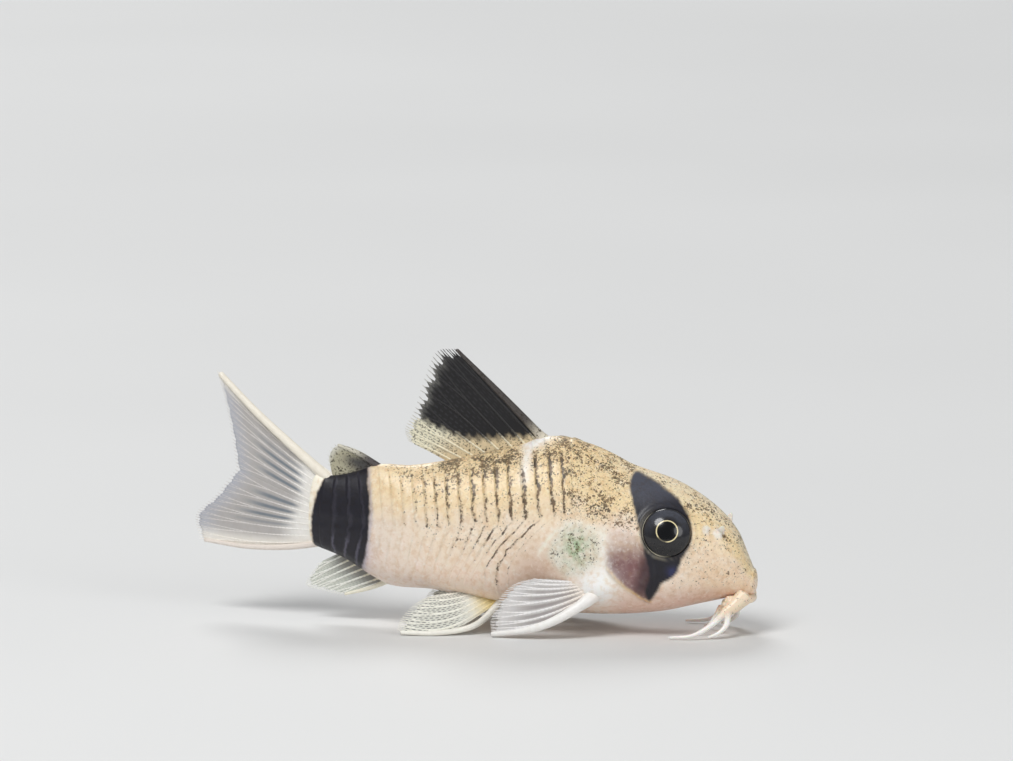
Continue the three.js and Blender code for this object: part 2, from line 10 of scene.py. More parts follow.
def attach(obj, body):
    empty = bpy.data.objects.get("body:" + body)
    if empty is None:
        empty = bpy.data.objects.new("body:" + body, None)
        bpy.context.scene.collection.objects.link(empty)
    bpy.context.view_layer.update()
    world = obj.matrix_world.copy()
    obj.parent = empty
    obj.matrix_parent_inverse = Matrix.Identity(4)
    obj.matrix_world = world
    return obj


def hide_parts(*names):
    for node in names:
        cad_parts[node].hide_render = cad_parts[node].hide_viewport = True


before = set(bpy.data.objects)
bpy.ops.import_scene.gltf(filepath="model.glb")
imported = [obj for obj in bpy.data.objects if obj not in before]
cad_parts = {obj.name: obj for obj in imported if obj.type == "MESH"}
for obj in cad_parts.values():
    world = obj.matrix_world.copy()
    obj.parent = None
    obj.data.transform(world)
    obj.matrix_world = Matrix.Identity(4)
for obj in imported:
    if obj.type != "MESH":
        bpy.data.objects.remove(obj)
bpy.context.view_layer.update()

bl_info = {
    "name": "Panda corydoras",
    "version": (1, 0, 0),
    "blender": (4, 5, 0),
    "location": "3D View > Sidebar > Corydoras",
    "description": "Skin, scutes, rayed fins, eyes and barbels of a small armoured catfish",
    "category": "Object",
}

MM = 0.001

# Body stations in millimetres: side outlines, half width and midflank line, as (x, size)
BACK_LINE = [(-14.2, 13.1), (-12.8, 12.95), (-10.4, 13.5), (-8.7, 14.1), (-5.9, 14.1),
             (-2, 14.75), (5.6, 16.55), (7.5, 16.95), (10.1, 16.4), (12, 15.7), (14, 14.7),
             (18.1, 13.25), (21.2, 11.3), (23.2, 9.1), (24.2, 6.8), (24.7, 5.6)]
BELLY_LINE = [(-14.2, 6.6), (-11.9, 5.75), (-9.2, 4.2), (-7.4, 3.45), (-3, 3.25), (2.4, 2.5),
              (7.8, 1.7), (12.2, 1.55), (16.6, 1.9), (20.2, 2.7), (22.5, 3.2), (24.7, 3.5)]
HALF_WIDTH = [(-14.6, 0.8), (-12.8, 1.4), (-10, 2.2), (-6.6, 3.2), (-3, 4), (0.4, 4.6),
              (4, 5.1), (8, 5.4), (11.5, 5.4), (14.7, 5), (17.4, 4.6), (20, 3.8), (21.9, 3.1),
              (23.5, 2.2), (24.7, 1.3)]
MIDFLANK_LINE = [(-14.2, 9.1), (-6, 8.95), (-1.7, 9.5), (3.8, 10.2), (8.4, 10.8), (12.5, 10.6),
                 (24.7, 5.2)]

WIDEST_LEVEL = 0.38
UPPER_SQUARENESS = 1.85
LOWER_SQUARENESS = 2.5
UPPER_LEAN = 0.1
LOWER_LEAN = 0.26
GILL_BULGE = 0.9
CAUDAL_BASE_BULGE = 0.75
TAIL_BEND = 0.008
TAIL_BEND_START = -5
NOSE_X = 24.6
NOSE_DOME = 0.34
GILL_X = 13.1
SCUTE_FRONT_X = 9.6
SCUTE_TAPER = 0.2
TAIL_END_X = -14.2
UPPER_COLUMNS = 46
LOWER_COLUMNS = 50
RINGS_PER_SCUTE = 12
FRONT_RINGS = 150
NOSE_RINGS = 7
POLE_LIFT = (0.004, 0, 0)
QUARTER = math.pi / 2

# Eye in millimetres
EYE_X = 17.45
EYE_Z = 9.2
EYE_RADIUS = 2.25
EYE_DEPTH = 1.45
EYE_SUNK = 0.6
EYE_ROLL = 0.3
EYE_YAW = 0.2
FAR = 99.0


class BodySizes(bpy.types.PropertyGroup):
    scute_count: IntProperty(name="Scutes", description="Scutes in each row along the flank",
                             default=23, min=10, max=30)
    scute_rise: FloatProperty(name="Scute rise", description="Height of a scute's rear edge",
                              default=0.13 * MM, precision=6, unit="LENGTH")
    scute_step: FloatProperty(name="Scute step", description="Share of a scute's length that its "
                              "rear edge drops over", default=0.1, subtype="FACTOR")


class SkinColours(bpy.types.PropertyGroup):
    back: FloatVectorProperty(name="Back", description="Sandy back", subtype="COLOR",
                              default=(0.90, 0.71, 0.42))
    flank: FloatVectorProperty(name="Flank", description="Pinkish cream flank", subtype="COLOR",
                               default=(0.91, 0.77, 0.61))
    belly: FloatVectorProperty(name="Belly", description="Pale pink belly", subtype="COLOR",
                               default=(0.97, 0.79, 0.66))
    dark: FloatVectorProperty(name="Patches", description="Dark eye, fin and tail patches",
                              subtype="COLOR", default=(0.016, 0.015, 0.022))
    gill: FloatVectorProperty(name="Gill cover", description="Wine-coloured gill cover",
                              subtype="COLOR", default=(0.21, 0.092, 0.097))
    green: FloatVectorProperty(name="Green sheen", description="Green patch behind the gill",
                               subtype="COLOR", default=(0.30, 0.46, 0.24))
    white: FloatVectorProperty(name="White", description="White skin at the pectoral base",
                               subtype="COLOR", default=(1.0, 0.98, 0.95))


class FinSizes(bpy.types.PropertyGroup):
    membrane: FloatProperty(name="Membrane", description="Thickness of the fin membrane",
                            default=0.09 * MM, precision=6, unit="LENGTH")
    ray: FloatProperty(name="Ray radius", description="Radius of a fin ray at its root",
                       default=0.135 * MM, precision=6, unit="LENGTH")
    joint: FloatProperty(name="Ray joint", description="Length of one bony joint of a ray",
                         default=0.34 * MM, precision=6, unit="LENGTH")


class StageSizes(bpy.types.PropertyGroup):
    azimuth: FloatProperty(name="Azimuth", description="Camera angle round the fish",
                           default=math.radians(10), subtype="ANGLE")
    elevation: FloatProperty(name="Elevation", description="Camera angle above the horizon",
                             default=math.radians(7.9), subtype="ANGLE")
    distance: FloatProperty(name="Distance", description="Camera distance", default=0.8,
                            unit="LENGTH")
    lens: FloatProperty(name="Lens", description="Focal length in millimetres", default=324.9)
    key_power: FloatProperty(name="Key light", description="Power of the main soft light",
                             default=8.0, unit="POWER")


def smooth(low, high, value):
    """Smooth step from 0 at low to 1 at high, on arrays."""
    t = np.clip((np.asarray(value, float) - low) / (high - low), 0, 1)
    return t * t * (3 - 2 * t)


def lerp(a, b, t):
    return a + (b - a) * t


def bell(value, centre, width):
    """Bell curve of height 1 at its centre."""
    return np.exp(-((value - centre) / width) ** 2)


def profile(stations):
    """Smooth curve through (x, value) stations, for arrays of x."""
    xs = np.array([s[0] for s in stations], float)
    vs = np.array([s[1] for s in stations], float)
    last = len(xs) - 1
    before = np.maximum(np.arange(last + 1) - 1, 0)
    after = np.minimum(np.arange(last + 1) + 1, last)
    slope = (vs[after] - vs[before]) / (xs[after] - xs[before])

    def value(x):
        x = np.asarray(x, float)
        i = np.clip(np.searchsorted(xs, x) - 1, 0, last - 1)
        span = xs[i + 1] - xs[i]
        t = (x - xs[i]) / span
        t2, t3 = t * t, t * t * t
        return (vs[i] * (2 * t3 - 3 * t2 + 1) + slope[i] * span * (t3 - 2 * t2 + t)
                + vs[i + 1] * (3 * t2 - 2 * t3) + slope[i + 1] * span * (t3 - t2))
    return value


back_z = profile(BACK_LINE)
belly_z = profile(BELLY_LINE)
half_width = profile(HALF_WIDTH)
midflank_z = profile(MIDFLANK_LINE)


def bend_y(x):
    """Sideways place of the middle plane, which curves away at the tail."""
    return TAIL_BEND * np.maximum(0, TAIL_BEND_START - np.asarray(x, float)) ** 2


def section(x, phi):
    """Half breadth and height of the skin at station x and angle phi from the widest level."""
    top, bottom = back_z(x), belly_z(x)
    widest = lerp(bottom, top, WIDEST_LEVEL)
    upper = phi > 0
    reach = np.where(upper, top - widest, widest - bottom)
    power = np.where(upper, 2 / UPPER_SQUARENESS, 2 / LOWER_SQUARENESS)
    cosine, sine = np.maximum(0, np.cos(phi)), np.sin(phi)
    return half_width(x) * cosine ** power, widest + reach * np.sign(sine) * np.abs(sine) ** power


def flank_y(x, z):
    """Half breadth of the flank at station x and height z."""
    top, bottom = back_z(x), belly_z(x)
    widest = lerp(bottom, top, WIDEST_LEVEL)
    upper = z > widest
    n = np.where(upper, UPPER_SQUARENESS, LOWER_SQUARENESS)
    q = np.abs(z - widest) / np.where(upper, top - widest, widest - bottom)
    return half_width(x) * np.maximum(0, 1 - q ** n) ** (1 / n)


def midflank_angle(x):
    widest = lerp(belly_z(x), back_z(x), WIDEST_LEVEL)
    q = np.clip((midflank_z(x) - widest) / (back_z(x) - widest), 0.02, 0.9)
    return np.arcsin(q ** (UPPER_SQUARENESS / 2))


def ring_slide(x, upper, a):
    """How far a ring leans forward at distance a from the midflank line."""
    height = back_z(x) - belly_z(x)
    plates = (1 - smooth(6.5, 11.5, x)) * (1 - smooth(10.5, -TAIL_END_X, -x))
    sweep = np.minimum(1, a * lerp(1.4, 3, smooth(-1, 6, x)))
    lean = LOWER_LEAN * lerp(0.38, 1, smooth(-8, 4, x)) * np.sin(sweep * QUARTER)
    chevron = height * np.where(upper, UPPER_LEAN * (1 - a ** 1.2), UPPER_LEAN - lean)
    gill = smooth(9.5, GILL_X, x) * (1 - smooth(GILL_X, GILL_X + 5, x))
    root = smooth(10.5, -TAIL_END_X, -x)
    return chevron * plates - (GILL_BULGE * gill + CAUDAL_BASE_BULGE * root) * (1 - a * a)


def scute_edges(count):
    """Stations of the scute edges from the shoulder to the tail."""
    i = np.arange(count + 1)
    t = i / count
    wobble = np.where(i % count, 0.05 * np.sin(5 * i), 0)
    return lerp(SCUTE_FRONT_X, TAIL_END_X, t * (1 + SCUTE_TAPER * (1 - t))) + wobble


def new_mesh(name, points, faces, unit=MM, edges=()):
    """Smooth mesh object from points in millimetres, linked to the scene."""
    mesh = bpy.data.meshes.new(name)
    mesh.from_pydata((np.asarray(points, float) * unit).tolist(), list(edges), list(faces))
    mesh.validate()
    if mesh.polygons:
        mesh.shade_smooth()
    obj = bpy.data.objects.new(name, mesh)
    bpy.context.scene.collection.objects.link(obj)
    return obj


def orient(obj):
    """Turns a closed mesh so that its faces point outwards."""
    mesh = bmesh.new()
    mesh.from_mesh(obj.data)
    bmesh.ops.recalc_face_normals(mesh, faces=mesh.faces)
    mesh.to_mesh(obj.data)
    mesh.free()


def store(obj, name, values, kind="FLOAT"):
    """Point attribute on a mesh: FLOAT, or FLOAT_COLOR from rgb rows."""
    attribute = obj.data.attributes.new(name, kind, "POINT")
    values = np.asarray(values, float)
    if kind == "FLOAT_COLOR":
        values = np.concatenate([values, np.ones((len(values), 1))], axis=1)
        attribute.data.foreach_set("color", values.ravel())
    else:
        attribute.data.foreach_set("value", values.ravel())


def place_piece(obj, slot, *nodes):
    """A finished piece: it rides the body and stands for CAD nodes, which it hides; its slot is not
    used.
    """
    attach(obj, "root")
    if nodes:
        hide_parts(*nodes)


def evaluated(obj):
    """Replaces an object's mesh by its evaluated one and drops its modifiers."""
    depsgraph = bpy.context.evaluated_depsgraph_get()
    mesh = bpy.data.meshes.new_from_object(obj.evaluated_get(depsgraph))
    obj.modifiers.clear()
    obj.data = mesh
    mesh.name = obj.name
    return obj


def grid_faces(rows, columns, wrap=False):
    """Quads of a grid of rows times columns, whose columns may close on themselves."""
    faces = []
    for i in range(rows - 1):
        for j in range(columns if wrap else columns - 1):
            a, b = i * columns + j, i * columns + (j + 1) % columns
            faces.append((a, b, b + columns, a + columns))
    return faces


# Materials. Noise and speck scales are in cells to the metre.

WARP_SCALE, WARP_PULL = 7000, 0.0003
SPECK_SIZES = ((6800, 1.0), (4100, 0.8))
FINE_GRAIN, COARSE_GRAIN, SKIN_MOTTLE = 4600, 1900, 2600
CLUMP_SCALE, LINE_WAVE, SPECK_TONE_SCALE = 800, 1100, 1500
FIN_MOTTLE, FIN_GRAIN = 2600, 6000
DASH_LANES, DASH_BEATS, DASH_STAGGER = 4.0, 95.0, 2.3

SPECK_BLACK = (0.026, 0.016, 0.011, 1)
SPECK_BROWN = (0.16, 0.095, 0.048, 1)
SMUDGE = (0.30, 0.20, 0.12, 1)
SKIN_SHADE = (0.80, 0.66, 0.50, 1)
SKIN_LIGHT = (1.0, 0.97, 0.90, 1)
PALE_LINE = (0.15, 0.14, 0.19, 1)
FIN_SHADE = (0.8, 0.76, 0.7, 1)
FIN_SPECK = (0.022, 0.014, 0.010, 1)
FIN_DASH = (0.035, 0.035, 0.04, 1)


def shader(name, **values):
    """New material with its Principled shader's own sockets set."""
    material = bpy.data.materials.new(name)
    material.use_nodes = True
    principled = material.node_tree.nodes["Principled BSDF"]
    for key, value in values.items():
        principled.inputs[key.replace("_", " ")].default_value = value
    return material, material.node_tree, principled


def add_node(tree, kind, links=(), **settings):
    """Node with its properties set and its inputs linked or filled, by name or number."""
    node = tree.nodes.new(kind)
    for key, value in settings.items():
        setattr(node, key, value)
    for key, value in dict(links).items():
        if isinstance(value, bpy.types.NodeSocket):
            tree.links.new(value, node.inputs[key])
        else:
            node.inputs[key].default_value = value
    return node


def maths(tree, operation, *values):
    kind = "ShaderNodeMath"
    return add_node(tree, kind, dict(enumerate(values)), operation=operation).outputs[0]


def times(tree, a, b):
    return maths(tree, "MULTIPLY", a, b)


def inverse(tree, value):
    return maths(tree, "SUBTRACT", 1.0, value)


def ramp(tree, value, low, high):
    """Smooth step of a socket between two limits."""
    node = add_node(tree, "ShaderNodeMapRange", {"Value": value, "From Min": low, "From Max": high},
                    interpolation_type="SMOOTHSTEP")
    return node.outputs["Result"]


def mix_colour(tree, factor, a, b, blend="MIX"):
    node = add_node(tree, "ShaderNodeMix", data_type="RGBA", blend_type=blend)
    for socket, value in zip((node.inputs[0], node.inputs[6], node.inputs[7]), (factor, a, b)):
        if isinstance(value, bpy.types.NodeSocket):
            tree.links.new(value, socket)
        else:
            socket.default_value = value
    return node.outputs[2]


def attribute(tree, name, output="Fac"):
    """Socket of a point attribute in a material."""
    return add_node(tree, "ShaderNodeAttribute", attribute_name=name).outputs[output]


def noise_field(tree, scale, detail=2.0, rough=0.6):
    """Noise from 0 to 1 on object coordinates."""
    coordinates = add_node(tree, "ShaderNodeTexCoord").outputs["Object"]
    node = add_node(tree, "ShaderNodeTexNoise", {"Vector": coordinates, "Scale": scale,
                    "Detail": detail, "Roughness": rough})
    return node.outputs["Fac"]


def bump(tree, principled, height, strength, distance):
    """Links a height to a shader's normal."""
    node = add_node(tree, "ShaderNodeBump", {"Height": height, "Strength": strength,
                    "Distance": distance})
    tree.links.new(node.outputs[0], principled.inputs["Normal"])


def pigment(tree, total):
    """Mask of irregular pigment dots, more and larger where total is higher."""
    coordinates = add_node(tree, "ShaderNodeTexCoord").outputs["Object"]
    warp = add_node(tree, "ShaderNodeTexNoise", {"Vector": coordinates, "Scale": WARP_SCALE,
                    "Detail": 1.0})
    pull = add_node(tree, "ShaderNodeVectorMath", {0: warp.outputs["Color"], 1: (WARP_PULL,) * 3,
                    2: coordinates}, operation="MULTIPLY_ADD")
    dots = []
    for scale, share in SPECK_SIZES:
        cell = add_node(tree, "ShaderNodeTexVoronoi", {"Vector": pull.outputs[0], "Scale": scale})
        chance = add_node(tree, "ShaderNodeSeparateColor", {0: cell.outputs["Color"]}).outputs[0]
        excess = maths(tree, "SUBTRACT", times(tree, total, share), chance)
        radius = maths(tree, "MINIMUM", maths(tree, "MULTIPLY_ADD", excess, 0.85, 0.16), 0.8)
        shown = ramp(tree, excess, 0.0, 0.05)
        dot = ramp(tree, maths(tree, "SUBTRACT", radius, cell.outputs["Distance"]), -0.05, 0.08)
        dots.append(times(tree, dot, shown))
    return maths(tree, "MAXIMUM", *dots)


def skin_material():
    """Wet skin: painted zones, pigment specks, dark scute edges and fine grain."""
    material, tree, principled = shader(
        "wet_skin", Roughness=0.38, IOR=1.36, Coat_Weight=0.2, Coat_Roughness=0.2,
        Subsurface_Weight=0.12, Subsurface_Scale=0.6 * MM)
    principled.inputs["Subsurface Radius"].default_value = (1.0, 0.5, 0.35)
    paint = attribute(tree, "paint", "Color")
    density = attribute(tree, "specks")
    fine = noise_field(tree, FINE_GRAIN, 3.0, 0.65)
    coarse = noise_field(tree, COARSE_GRAIN, 3.0, 0.6)
    clumps = ramp(tree, noise_field(tree, CLUMP_SCALE, 3.0, 0.6), 0.34, 0.66)

    # Lines along the scutes' rear edges, and specks on them and between them
    wave = maths(tree, "SUBTRACT", noise_field(tree, LINE_WAVE, 3.0), 0.5)
    phase = maths(tree, "ADD", attribute(tree, "scute"), times(tree, wave, 0.7))
    phase = maths(tree, "FRACT", phase)
    line = times(tree, ramp(tree, phase, 0.60, 0.80), inverse(tree, ramp(tree, phase, 0.84, 0.99)))
    strength = maths(tree, "MULTIPLY_ADD", clumps, 0.6, 0.6)
    on_edge = times(tree, times(tree, line, attribute(tree, "edges")), strength)
    scattered = times(tree, density, maths(tree, "MULTIPLY_ADD", clumps, 0.9, 0.45))
    specks = pigment(tree, maths(tree, "MULTIPLY_ADD", on_edge, 0.85, scattered))
    light_line = times(tree, line, attribute(tree, "pale_edges"))

    # Mottled paint, lighter only where the paint is light
    darker = times(tree, ramp(tree, coarse, 0.42, 0.70), 0.50)
    colour = mix_colour(tree, darker, paint, SKIN_SHADE, "MULTIPLY")
    lit = add_node(tree, "ShaderNodeSeparateColor", {0: paint}).outputs[0]
    lighter = times(tree, ramp(tree, noise_field(tree, SKIN_MOTTLE, 3.0, 0.6), 0.52, 0.70),
                    times(tree, ramp(tree, lit, 0.12, 0.45), 0.26))
    colour = mix_colour(tree, lighter, colour, SKIN_LIGHT, "SCREEN")
    around = maths(tree, "ADD", on_edge, times(tree, density, ramp(tree, fine, 0.48, 0.64)))
    colour = mix_colour(tree, times(tree, around, 0.5), colour, SMUDGE)
    tone = mix_colour(tree, ramp(tree, noise_field(tree, SPECK_TONE_SCALE, 2.0), 0.4, 0.65),
                      SPECK_BLACK, SPECK_BROWN)
    colour = mix_colour(tree, times(tree, specks, 0.84), colour, tone)
    colour = mix_colour(tree, light_line, colour, PALE_LINE)
    tree.links.new(colour, principled.inputs["Base Color"])

    bump(tree, principled, maths(tree, "ADD", fine, times(tree, coarse, 0.8)), 0.3, 0.07 * MM)
    rough = maths(tree, "ADD", 0.30, times(tree, fine, 0.25))
    tree.links.new(rough, principled.inputs["Roughness"])
    return material


def fin_material(name, alpha, rough=0.4):
    """Fin tissue, painted by attribute, with dark specks and dashes between the ray branches."""
    material, tree, principled = shader(name, Roughness=rough, IOR=1.36, Coat_Weight=0.1,
                                        Coat_Roughness=0.3, Alpha=alpha)
    paint = attribute(tree, "paint", "Color")
    mottle = ramp(tree, noise_field(tree, FIN_MOTTLE, 2.0), 0.35, 0.7)
    colour = mix_colour(tree, times(tree, mottle, 0.2), paint, FIN_SHADE, "MULTIPLY")
    dots = times(tree, pigment(tree, attribute(tree, "specks")), 0.9)
    colour = mix_colour(tree, dots, colour, FIN_SPECK)

    lanes = times(tree, attribute(tree, "ray_number"), DASH_LANES)
    middle = maths(tree, "ABSOLUTE", maths(tree, "SUBTRACT", maths(tree, "FRACT", lanes), 0.5))
    row = times(tree, maths(tree, "ROUND", lanes), DASH_STAGGER)
    along = times(tree, attribute(tree, "ray_share"), DASH_BEATS)
    beat = maths(tree, "SINE", maths(tree, "ADD", row, along))
    dash = times(tree, ramp(tree, middle, 0.26, 0.40), ramp(tree, beat, -0.5, 0.1))
    colour = mix_colour(tree, times(tree, dash, attribute(tree, "dashes")), colour, FIN_DASH)
    tree.links.new(colour, principled.inputs["Base Color"])
    bump(tree, principled, noise_field(tree, FIN_GRAIN, 2.0), 0.15, 0.02 * MM)
    return material


# Skin

def skin_grid(sizes):
    """Points of the skin in millimetres, with each point's station, scute number and distance
    from the midflank line (negative below it)."""
    edges = scute_edges(sizes.scute_count)
    share = np.append(np.linspace(0, 0.88, RINGS_PER_SCUTE - 2, endpoint=False), (0.9, 0.985))
    stations, numbers = [], []
    for i in range(sizes.scute_count):
        stations.extend(lerp(edges[i], edges[i + 1], share))
        numbers.extend(i + share)
    stations.append(edges[-1])
    numbers.append(sizes.scute_count - 0.001)
    stations, numbers = stations[::-1], numbers[::-1]
    front = np.linspace(SCUTE_FRONT_X, NOSE_X, FRONT_RINGS)[1:]
    stations = np.array(stations + list(front))
    numbers = np.array(numbers + [0.0] * len(front))

    a = np.append(1 - np.arange(UPPER_COLUMNS) / UPPER_COLUMNS,
                  np.arange(LOWER_COLUMNS + 1) / LOWER_COLUMNS)
    upper = np.arange(len(a)) < UPPER_COLUMNS
    side = np.append(-np.ones(len(a)), np.ones(len(a) - 2))
    a = np.append(a, a[-2:0:-1])
    upper = np.append(upper, upper[-2:0:-1])

    x, a2 = np.meshgrid(stations, a, indexing="ij")
    up2 = np.broadcast_to(upper, x.shape)
    phi = lerp(midflank_angle(x), np.where(up2, QUARTER, -QUARTER), a2)
    y, z = section(x, phi)
    slid = x + ring_slide(x, up2, a2)
    points = np.stack([slid, side * y + bend_y(slid), z], axis=-1)
    centre = points[-1].mean(axis=0)
    turns = np.linspace(0, QUARTER, NOSE_RINGS + 2)[1:-1]
    dome = [centre + (points[-1] - centre) * math.cos(t) + (NOSE_DOME * math.sin(t), 0, 0)
            for t in turns]
    points = np.concatenate([points, dome])

    def pad(grid):
        return np.concatenate([grid, np.repeat(grid[-1:], NOSE_RINGS, axis=0)])

    number = pad(np.broadcast_to(numbers[:, None], x.shape))
    return points, pad(x), number, pad(np.where(up2, a2, -a2))


def grid_normals(points):
    """Outward unit normals of a ring grid that closes round the body."""
    along = np.gradient(points, axis=0)
    around = np.roll(points, -1, axis=1) - np.roll(points, 1, axis=1)
    normal = np.cross(around, along)
    length = np.linalg.norm(normal, axis=-1, keepdims=True)
    normal = normal / np.maximum(length, 1e-9)
    out = points - points.mean(axis=1, keepdims=True)
    return normal * np.where((normal * out).sum(axis=-1, keepdims=True) < 0, -1, 1)


def eye_frame(side):
    """Centre of an eye in millimetres, and its outward, forward and upward directions."""
    centre = Vector((EYE_X, side * (float(flank_y(EYE_X, EYE_Z)) - EYE_SUNK), EYE_Z))
    turn = Matrix.Rotation(side * EYE_ROLL, 3, "X") @ Matrix.Rotation(-side * EYE_YAW, 3, "Z")
    outward = turn @ Vector((0, side, 0))
    forward = turn @ Vector((1, 0, 0))
    upward = turn @ Vector((0, 0, 1))
    return centre, outward, forward, upward


def eye_distance(points):
    """Distance in the eye's plane from the nearer eye's axis."""
    best = np.full(points.shape[:-1], FAR)
    for side in (-1, 1):
        centre, outward, forward, upward = eye_frame(side)
        offset = points - np.array(centre)
        flat = np.hypot(offset @ np.array(forward), offset @ np.array(upward))
        near = (offset @ np.array(outward)) > -2.0
        best = np.minimum(best, np.where(near, flat, FAR))
    return best


def segment_distance(x, z, start, end):
    """Distance in side view of each point from one straight piece of a line."""
    (x0, z0), (x1, z1) = start, end
    dx, dz = x1 - x0, z1 - z0
    t = np.clip(((x - x0) * dx + (z - z0) * dz) / (dx * dx + dz * dz), 0, 1)
    return np.hypot(x - x0 - t * dx, z - z0 - t * dz)


def region(outline, x, z, soft):
    """Mask of a closed outline in side view, 1 inside, with an edge of soft millimetres."""
    distance = np.full(x.shape, FAR)
    inside = np.zeros(x.shape, bool)
    for start, end in zip(outline, outline[1:] + outline[:1]):
        distance = np.minimum(distance, segment_distance(x, z, start, end))
        (x0, z0), (x1, z1) = start, end
        at = x0 + (z - z0) * (x1 - x0) / ((z1 - z0) or 1e-9)
        inside ^= ((z0 > z) != (z1 > z)) & (x < at)
    return smooth(-soft, soft, np.where(inside, distance, -distance))


def near_line(line, x, z, width):
    """Mask of a polyline in side view, 1 on it and 0 at width millimetres."""
    pieces = [segment_distance(x, z, start, end) for start, end in zip(line, line[1:])]
    return 1 - smooth(0, width, np.minimum.reduce(pieces))


def bulge(points, centre, radius):
    """Round bump of height 1 at a centre that both sides share, fading at radius."""
    mirrored = np.stack([points[..., 0], np.abs(points[..., 1]), points[..., 2]], axis=-1)
    distance = np.linalg.norm(mirrored - np.array(centre), axis=-1)
    return np.exp(-(distance / radius) ** 2)


# Outlines of the head's plates and patches in side view, in millimetres
EYE_PATCH = [(14.4, 14.2), (14.1, 13.2), (14.6, 11.5), (15.0, 10.3), (15.4, 9), (15.9, 7.1),
             (16.2, 5.6), (15.8, 4.3), (16.05, 3.3), (16.7, 4.0), (17.2, 4.9), (17.9, 5.3),
             (18.5, 5.9), (18.9, 7), (19.5, 8.0), (19.7, 9.2), (19.4, 10.6), (18.3, 12.0),
             (17.1, 12.9), (15.7, 13.7)]
GILL_COVER = [(12.5, 9.4), (12.3, 7.6), (12.5, 6.1), (13.4, 5.2), (14.5, 4.3), (15.4, 3.5),
              (16.2, 3.3), (16.6, 5.5), (16.4, 7.2), (15.5, 8.8), (14.2, 9.6)]
GILL_TOP = [(12.3, 9.2), (12.6, 8.2), (14.2, 8.6), (15.1, 9.2), (14.8, 10.6), (13.6, 10.9),
            (12.5, 10.3)]
GILL_RIM = [(12.6, 6.2), (13.3, 5.3), (14.4, 4.3), (15.4, 3.5), (16.2, 3.2)]
GREEN_PATCH = [(7.3, 7.6), (8.2, 9.4), (9.3, 10.2), (10.5, 9.9), (11.6, 9.2), (11.9, 7.8),
               (11.4, 6.3), (9.4, 5.4), (8.0, 6.3)]
PATCH_BORDER = [(6.6, 7.6), (7.5, 8.9), (9.1, 10.3), (10.3, 10.1), (11.8, 9.4), (12.3, 9.2)]
NOSTRILS = ((20.85, 2.7, 9.45), (21.85, 2.3, 9.1))

# Lumps and pits that both sides share: centre, radius and height, in millimetres
LUMPS = [((11.7, 5.0, 4.3), 1.25, 0.55), ((5.9, 0, 16.6), 1.1, 0.3), (NOSTRILS[0], 0.5, 0.10),
         ((21.2, 2.6, 9.3), 0.2, -0.34), (NOSTRILS[1], 0.45, 0.16),
         ((22.3, 1.9, 8.9), 0.25, -0.30), ((23.6, 0, 3.3), 0.8, -0.5)]

# Tones of the skin besides its main colours
CROWN = (0.88, 0.80, 0.62)
SNOUT = (0.84, 0.58, 0.34)
GREY_FLANK = (0.80, 0.70, 0.64)
FLANK_PAINTED_SHADE = (0.60, 0.42, 0.33)
PALE_STREAK = (0.97, 0.92, 0.84)
GILL_HIGHLIGHT = (0.50, 0.36, 0.34)
GILL_PINK = (0.86, 0.74, 0.68)
GILL_GOLD = (0.92, 0.66, 0.30)
SHOULDER_EDGE = (0.95, 0.90, 0.82)
THROAT = (0.66, 0.38, 0.30)
PATCH_GROUND = (0.80, 0.77, 0.66)
PATCH_EDGE = (0.93, 0.88, 0.76)
MASK_TOP_SHEEN = (0.10, 0.105, 0.135)
BLUE_SPOT = (0.03, 0.035, 0.11)
ORBIT_HIGHLIGHT = (0.40, 0.37, 0.28)
NOSTRIL_RIM = (0.90, 0.84, 0.74)
NOSTRIL_PIT_SHADE = (0.16, 0.11, 0.09)
BAND_MAUVE = (0.62, 0.52, 0.54)
BAND_EDGE = (0.36, 0.34, 0.44)
TAIL_CREAM = (0.96, 0.90, 0.76)


def rounded(outline, steps=6):
    """Closed outline with its corners rounded off."""
    count = len(outline)
    ring = [np.array(p, float) for p in outline]
    smoothed = []
    for i in range(count):
        p0, p1, p2, p3 = (ring[(i + k) % count] for k in (-1, 0, 1, 2))
        for k in range(steps):
            t = k / steps
            smoothed.append(tuple(0.5 * (2 * p1 + (p2 - p0) * t + (2 * p0 - 5 * p1 + 4 * p2 - p3)
                                         * t ** 2 + (3 * p1 - p0 - 3 * p2 + p3) * t ** 3)))
    return smoothed


def head_relief(points):
    """Outward relief of the head and shoulder in millimetres."""
    x, z = points[..., 0], points[..., 2]
    eye = eye_distance(points)
    relief = -0.55 * (1 - smooth(1.4, 2.2, eye)) + 0.15 * bell(eye, 2.42, 0.22)
    relief += 0.14 * region(rounded(GILL_COVER), x, z, 0.14)
    relief += 0.1 * near_line(GILL_RIM, x, z, 0.4)
    relief += 0.07 * region(rounded(GREEN_PATCH), x, z, 0.3)
    relief -= 0.06 * near_line(PATCH_BORDER, x, z, 0.25)
    for centre, radius, height in LUMPS:
        relief += height * bulge(points, centre, radius)
    return relief


def wobble(points, scale, seed):
    """Smooth noise from -1 to 1 at each point, for uneven borders."""
    shift = Vector((seed * 7.3, seed * 3.1, seed * 5.7))
    flat = points.reshape(-1, 3) * scale
    values = [noise.noise(Vector(p) + shift) for p in flat]
    return np.array(values).reshape(points.shape[:-1])


